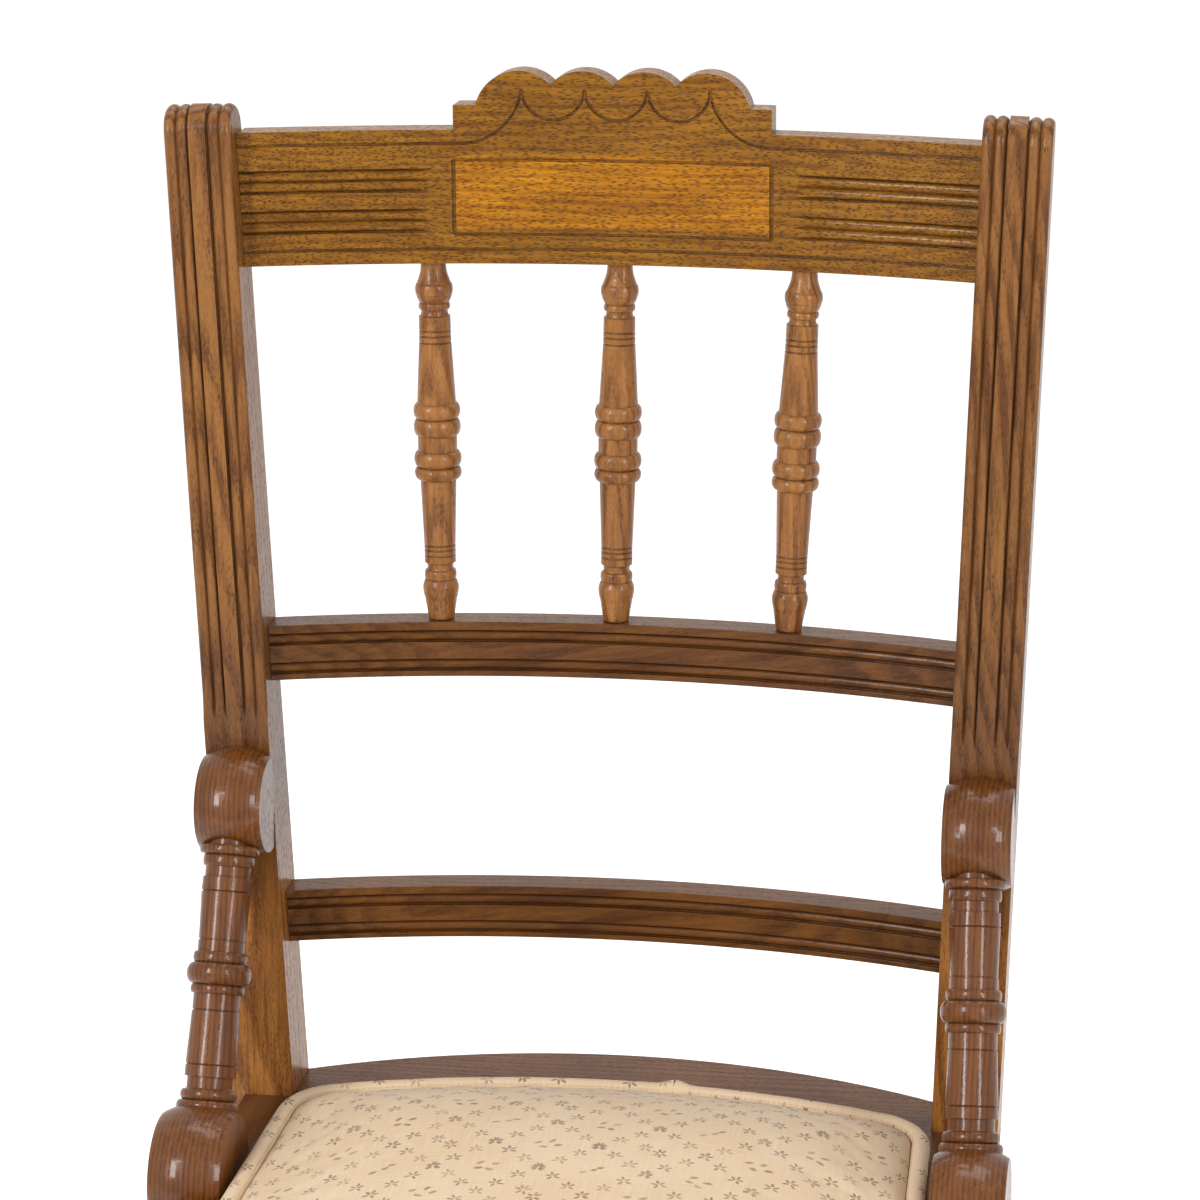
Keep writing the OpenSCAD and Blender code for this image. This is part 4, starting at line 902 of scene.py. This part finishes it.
def even_points(loop, count):
    """Closed loop resampled at equal steps."""
    closed = loop + [loop[0]]
    runs = [0.0]
    for (x0, y0), (x1, y1) in zip(closed, closed[1:]):
        runs.append(runs[-1] + math.hypot(x1 - x0, y1 - y0))
    points, k = [], 0
    for i in range(count):
        goal = runs[-1] * i / count
        while runs[k + 1] < goal:
            k += 1
        step = (goal - runs[k]) / max(runs[k + 1] - runs[k], 1e-12)
        points.append(tuple(a + (b - a) * step for a, b in zip(closed[k], closed[k + 1])))
    return points


def pad_form(name, crown, edge, count=200):
    """Closed crowned form: rolled shoulders, then a crown that flattens to the middle."""
    middle = PAD_MIDDLE_Y
    rings = [[(x, y, SOFT_GAP) for x, y in pad_outline(edge + 0.004, count)]]
    for angle in (0, 12, 24, 36, 47, 58, ROLL_END):
        turn = math.radians(angle)
        z = WIDE_Z + (SHOULDER - WIDE_Z) * math.sin(turn)
        rings.append([(x, y, z) for x, y in pad_outline(edge + ROLL * (1 - math.cos(turn)), count)])
    low = rings[-1][0][2]
    for share in (0.93, 0.84, 0.74, 0.62, 0.5, 0.38, 0.26, 0.14):
        z = low + (crown - low) * (1 - share ** CROWN_FLATNESS)
        rings.append([(x * share, middle + (y - middle) * share, z) for x, y, _ in rings[7]])
    points = [p for ring in rings for p in ring]
    sides = [(i, (i + 1) % count) for i in range(count)]
    faces = [(r + i, r + j, r + count + j, r + count + i)
             for r in range(0, len(points) - count, count) for i, j in sides]
    bottom, top, last = len(points), len(points) + 1, len(points) - count
    points += [(0.0, middle, SOFT_GAP), (0.0, middle, crown)]
    faces += [(j, i, bottom) for i, j in sides] + [(last + i, last + j, top) for i, j in sides]
    mesh = bpy.data.meshes.new(name)
    mesh.from_pydata([(x, y + POST_FRONT, z + SEAT_TOP) for x, y, z in points], [], faces)
    tidy_mesh(mesh)
    return link(name, mesh)


def bake_modifiers(piece):
    bpy.context.view_layer.update()
    shaped = piece.evaluated_get(bpy.context.evaluated_depsgraph_get())
    mesh = bpy.data.meshes.new_from_object(shaped)
    old = piece.data
    piece.modifiers.clear()
    piece.data = mesh
    bpy.data.meshes.remove(old)


def blow_up(piece, pressure):
    """Fills the cover with the filling's pressure, holding its seam, and caps how far it may move."""
    rest = [v.co.copy() for v in piece.data.vertices]
    seam = piece.vertex_groups.new(name="seam")
    for v in piece.data.vertices:
        hold = min(1.0, max(0.0, 1 - (v.co.z - SEAT_TOP - SEAM_HELD) / SEAM_FADE))
        if hold > 0:
            seam.add([v.index], hold, "REPLACE")
    cloth = piece.modifiers.new("filling", "CLOTH")
    body = cloth.settings
    body.quality = 6
    body.mass = 0.2
    body.tension_stiffness = body.compression_stiffness = 14
    body.shear_stiffness = 5
    body.bending_stiffness = 0.4
    body.use_pressure = True
    body.uniform_pressure_force = pressure
    body.vertex_group_mass = "seam"
    body.shrink_min = -0.012
    body.effector_weights.gravity = 0
    cloth.collision_settings.use_collision = False
    cloth.point_cache.frame_start = 1
    cloth.point_cache.frame_end = CLOTH_FRAMES
    scene = bpy.context.scene
    for number in range(1, CLOTH_FRAMES + 1):
        scene.frame_set(number)
    bake_modifiers(piece)
    scene.frame_set(1)
    for v, start in zip(piece.data.vertices, rest):
        step = v.co - start
        if step.length > FILL_CAP:
            v.co = start + step * (FILL_CAP / step.length)
    piece.vertex_groups.clear()


def fit_seam(piece, edge):
    """Brings the side of the cover back to its seam line, which the remesh has worn down."""
    outline = [Vector((x, y + POST_FRONT, 0.0)) for x, y in pad_outline(edge, 1600)]
    finder = KDTree(len(outline))
    for number, place in enumerate(outline):
        finder.insert(place, number)
    finder.balance()
    for v in piece.data.vertices:
        height = v.co.z - SEAT_TOP
        if not SEAM_BOTTOM < height < SHOULDER:
            continue
        _, number, away = finder.find(Vector((v.co.x, v.co.y, 0.0)))
        if away > SIDE_REACH:
            continue
        along = (outline[(number + 1) % len(outline)] - outline[number - 1]).normalized()
        out = Vector((-along.y, along.x, 0.0))
        inward = (outline[number] - v.co).dot(out)
        turn = math.asin(min(1.0, max(0.0, (height - WIDE_Z) / (SHOULDER - WIDE_Z))))
        hold = min(1.0, (SHOULDER - height) / SIDE_FADE)
        v.co += out * (inward - ROLL * (1 - math.cos(turn))) * hold


def pucker(piece, outline):
    """Fine gathers where the cloth is drawn into its seam."""
    middle = sum(y for _, y in outline) / len(outline) + POST_FRONT
    table = sorted((math.atan2(y + POST_FRONT - middle, x), math.hypot(x, y + POST_FRONT - middle))
                   for x, y in outline)
    angles = [angle for angle, _ in table]
    for v in piece.data.vertices:
        if v.co.z - SEAT_TOP < FOLD_BOTTOM:
            continue
        x, y = v.co.x, v.co.y - middle
        angle = math.atan2(y, x)
        place = min(max(bisect_right(angles, angle) - 1, 0), len(table) - 2)
        inward = table[place][1] - math.hypot(x, y)
        near = max(0.0, 1 - max(inward, 0.0) / GATHER_REACH)
        run = angle * PAD_BACK_HALF / GATHER_PITCH
        fold = noise.noise(Vector((run, 0.3, 0.0))) + 0.5 * noise.noise(Vector((run * 2.3, 4.0, 0.0)))
        v.co.z += fold * GATHER_DEPTH * near * near


def planar_cloth_map(mesh):
    """Flat cloth map in metres: plan view on top, let out down the sides."""
    layer = mesh.uv_layers.new(name="cloth")
    for loop in mesh.loops:
        place = mesh.vertices[loop.vertex_index].co
        out = Vector((place.x, place.y - (POST_FRONT + PAD_MIDDLE_Y)))
        layer.data[loop.index].uv = out + out.normalized() * max(0.0, SHOULDER - (place.z - SEAT_TOP))


class CHAIR_OT_seat_pad(bpy.types.Operator):
    """Fills and sews the cotton cover of the seat, with its wadding inside"""

    bl_idname = "chair.seat_pad"
    bl_label = "Seat Pad"

    def execute(self, context):
        settings = context.scene.pad_settings
        edge = 2 * settings.welt_radius + SOFT_GAP
        cover = pad_form("seat_pad_cover", settings.crown - COVER_LOWER, edge)
        even = cover.modifiers.new("even", "REMESH")
        even.mode, even.voxel_size = "VOXEL", CLOTH_STEP
        bake_modifiers(cover)
        blow_up(cover, settings.pressure)
        smoother = cover.modifiers.new("smoother", "SUBSURF")
        smoother.levels = smoother.render_levels = 1
        bake_modifiers(cover)
        fit_seam(cover, edge)
        pucker(cover, pad_outline(edge))
        tidy_mesh(cover.data)
        planar_cloth_map(cover.data)
        cover.data.materials.clear()
        cover.data.materials.append(cotton("cover_cotton"))
        finish_piece(cover, "sprig_cotton", "seat_cover")
        wadding = pad_form("seat_wadding", settings.crown - WADDING_INSIDE, edge + WADDING_INSIDE, 120)
        for v in wadding.data.vertices:
            if v.co.z - SEAT_TOP < BOARD_TOP:
                v.co.z = SEAT_TOP + BOARD_TOP
            else:
                v.co.z += LUMP_HEIGHT * noise.noise(v.co * LUMP_SCALE)
        tidy_mesh(wadding.data)
        wadding.data.materials.append(batting("cotton_wadding"))
        finish_piece(wadding, "batting", "seat_stuffing")
        return {"FINISHED"}


def loop_from(points, start_x):
    """Loop re-started at the back point nearest start_x, closed by repeating its first point."""
    back = max(y for _, y in points) - 0.02
    start = min((i for i, (_, y) in enumerate(points) if y > back),
                key=lambda i: abs(points[i][0] - start_x))
    turned = points[start:] + points[:start]
    return turned + [turned[0]]


WELT_POINTS = 700
WELT_JOINT_X = 0.033
JOINT_LENGTH, JOINT_SWELL = 0.0055, 0.2
STITCHES_IN, STITCHES_UP = 1.82, 1.62  # place of the stitches, in welt radii
STITCH_SHARE, THREAD = 0.68, 0.0007  # length of a stitch to its pitch, and thickness of the thread


class CHAIR_OT_seat_welt(bpy.types.Operator):
    """Runs the covered cord and its row of stitches round the pad"""

    bl_idname = "chair.seat_welt"
    bl_label = "Seat Welt"

    def execute(self, context):
        settings = context.scene.pad_settings
        radius = settings.welt_radius
        loop = loop_from(pad_outline(radius, WELT_POINTS), WELT_JOINT_X)
        line = []
        for x, y in loop:
            from_joint = math.hypot(x - loop[0][0], y - loop[0][1]) / JOINT_LENGTH
            lift = radius * JOINT_SWELL * math.exp(-from_joint * from_joint)
            line.append((x, y + POST_FRONT + lift, SEAT_TOP + SOFT_GAP + radius + lift))
        welt = run_tree("seat_welt_piping", line_mesh("welt_line", line), piping_tree(), {
            "Radius": radius, "Step": 0.0022, "Round Points": 25, "Seam Depth": 0.13, "Unevenness": 0.06,
            "Joint Bump": JOINT_SWELL, "Joint Length": JOINT_LENGTH,
            "Material": cotton("welt_cotton", turn=0.8)})
        tidy_mesh(welt.data, merge=1e-5)
        finish_piece(welt, "sprig_cotton", "seat_welt")
        line = [(x, y + POST_FRONT, SEAT_TOP + SOFT_GAP + radius * STITCHES_UP)
                for x, y in loop_from(pad_outline(radius * STITCHES_IN, WELT_POINTS), WELT_JOINT_X)]
        stitches = run_tree("seat_welt_stitches", line_mesh("stitch_line", line), stitch_tree(), {
            "Pitch": settings.stitch_pitch, "Length": settings.stitch_pitch * STITCH_SHARE,
            "Thread": THREAD, "Seed": 3, "Material": linen("linen_thread")})
        finish_piece(stitches, "sprig_cotton")
        return {"FINISHED"}


# Stage

CAMERA_PLACE = (0.32177, -1.89459, 0.94231)
CAMERA_YAW, CAMERA_PITCH, CAMERA_ROLL = 9.77, 18.94, -1.19
CAMERA_SHIFT = (600 - 589.3) / 1200
LIGHT_AIM = Vector((0.0, 0.0, 0.6))
FLOOR_HALF, FLOOR_GLOW = 14.0, 0.62
WHITE = (1.0, 1.0, 1.0)


def camera_matrix():
    yaw, pitch, roll = (math.radians(a) for a in (CAMERA_YAW, CAMERA_PITCH, CAMERA_ROLL))
    ahead = Vector((-math.sin(yaw) * math.cos(pitch), math.cos(yaw) * math.cos(pitch), -math.sin(pitch)))
    level = Vector((math.cos(yaw), math.sin(yaw), 0.0))
    above = level.cross(ahead)
    right = level * math.cos(roll) + above * math.sin(roll)
    up = above * math.cos(roll) - level * math.sin(roll)
    place = Vector(CAMERA_PLACE) + Vector((0.0, POST_FRONT, SEAT_TOP))
    rows = [(right[i], up[i], -ahead[i], place[i]) for i in range(3)]
    return Matrix(rows + [(0.0, 0.0, 0.0, 1.0)])


def lamp(name, place, size, power):
    data = bpy.data.lights.new(name, "AREA")
    data.shape = "RECTANGLE"
    data.size, data.size_y = size
    data.energy = power
    made = link(name, data)
    made.location = place
    made.rotation_euler = (LIGHT_AIM - Vector(place)).to_track_quat("-Z", "Y").to_euler()


def seen_white(tree, strength):
    """Brightness that only the camera, gloss and glass see."""
    path = add(tree, "ShaderNodeLightPath").outputs
    unlit = calc("MAXIMUM", path["Is Glossy Ray"], path["Is Transmission Ray"])
    return times(calc("MAXIMUM", path["Is Camera Ray"], unlit), strength)


class CHAIR_OT_stage(bpy.types.Operator):
    """Sets the floor, the lights and the camera"""

    bl_idname = "chair.stage"
    bl_label = "Stage"

    def execute(self, context):
        scene, settings = context.scene, context.scene.stage_settings
        floor_mesh = bpy.data.meshes.new("floor")
        floor_mesh.from_pydata([(x * FLOOR_HALF, y * FLOOR_HALF, 0) for x, y in (
            (-1, -1), (1, -1), (1, 1), (-1, 1))], [], [(0, 1, 2, 3)])
        floor = link("floor", floor_mesh)
        material, tree, surface = new_material("floor_paint")
        fill(surface, {"Base Color": settings.floor_colour, "Roughness": 0.95, "Specular IOR Level": 0.0,
                       "Emission Color": WHITE, "Emission Strength": seen_white(tree, FLOOR_GLOW)})
        floor_mesh.materials.append(material)
        world = bpy.data.worlds.new("studio")
        scene.world = world
        world.use_nodes = True
        tree = world.node_tree
        fill(tree.nodes["Background"], {
            "Color": WHITE, "Strength": calc("MAXIMUM", seen_white(tree, 1.0), settings.surround)})
        lamp("key_light", (-1.7, -2.4, 2.1), (0.55, 1.6), settings.key_power)
        lamp("fill_light", (2.1, -2.0, 1.7), (0.5, 1.5), settings.fill_power)
        lamp("top_light", (0.2, 0.9, 2.9), (1.8, 1.2), settings.top_power)
        data = bpy.data.cameras.new("camera")
        data.sensor_width, data.sensor_fit, data.lens = 36.0, "HORIZONTAL", settings.focal
        data.shift_x = CAMERA_SHIFT
        data.clip_start, data.clip_end = 0.05, 60.0
        scene.camera = link("camera", data)
        scene.camera.matrix_world = camera_matrix()
        scene.view_settings.view_transform = "Standard"
        return {"FINISHED"}


class CHAIR_PT_panel(bpy.types.Panel):
    """Lists the chair's pieces and settings"""

    bl_idname = "CHAIR_PT_panel"
    bl_label = "Oak Chair"
    bl_space_type = "VIEW_3D"
    bl_region_type = "UI"
    bl_category = "Oak Chair"

    def draw(self, context):
        for name in GROUP_NAMES:
            box = self.layout.box()
            for key in getattr(context.scene, name).bl_rna.properties.keys():
                if key not in ("rna_type", "name"):
                    box.prop(getattr(context.scene, name), key)
        for operator in OPERATORS:
            self.layout.operator(operator.bl_idname)


GROUP_NAMES = {"oak_settings": OakSettings, "pad_settings": PadSettings,
               "turning_settings": TurningSettings, "stage_settings": StageSettings}
OPERATORS = (CHAIR_OT_stage, CHAIR_OT_wood, CHAIR_OT_spindles, CHAIR_OT_seat_pad, CHAIR_OT_seat_welt)


def register():
    for kind in (*GROUP_NAMES.values(), *OPERATORS, CHAIR_PT_panel):
        bpy.utils.register_class(kind)
    for name, kind in GROUP_NAMES.items():
        setattr(bpy.types.Scene, name, bpy.props.PointerProperty(type=kind))


def unregister():
    for name in GROUP_NAMES:
        delattr(bpy.types.Scene, name)
    for kind in reversed((*GROUP_NAMES.values(), *OPERATORS, CHAIR_PT_panel)):
        bpy.utils.unregister_class(kind)


def main():
    register()
    bpy.ops.chair.stage()
    bpy.ops.chair.wood()
    bpy.ops.chair.spindles()
    bpy.ops.chair.seat_pad()
    bpy.ops.chair.seat_welt()
    bpy.context.view_layer.update()


if __name__ == "__main__":
    main()
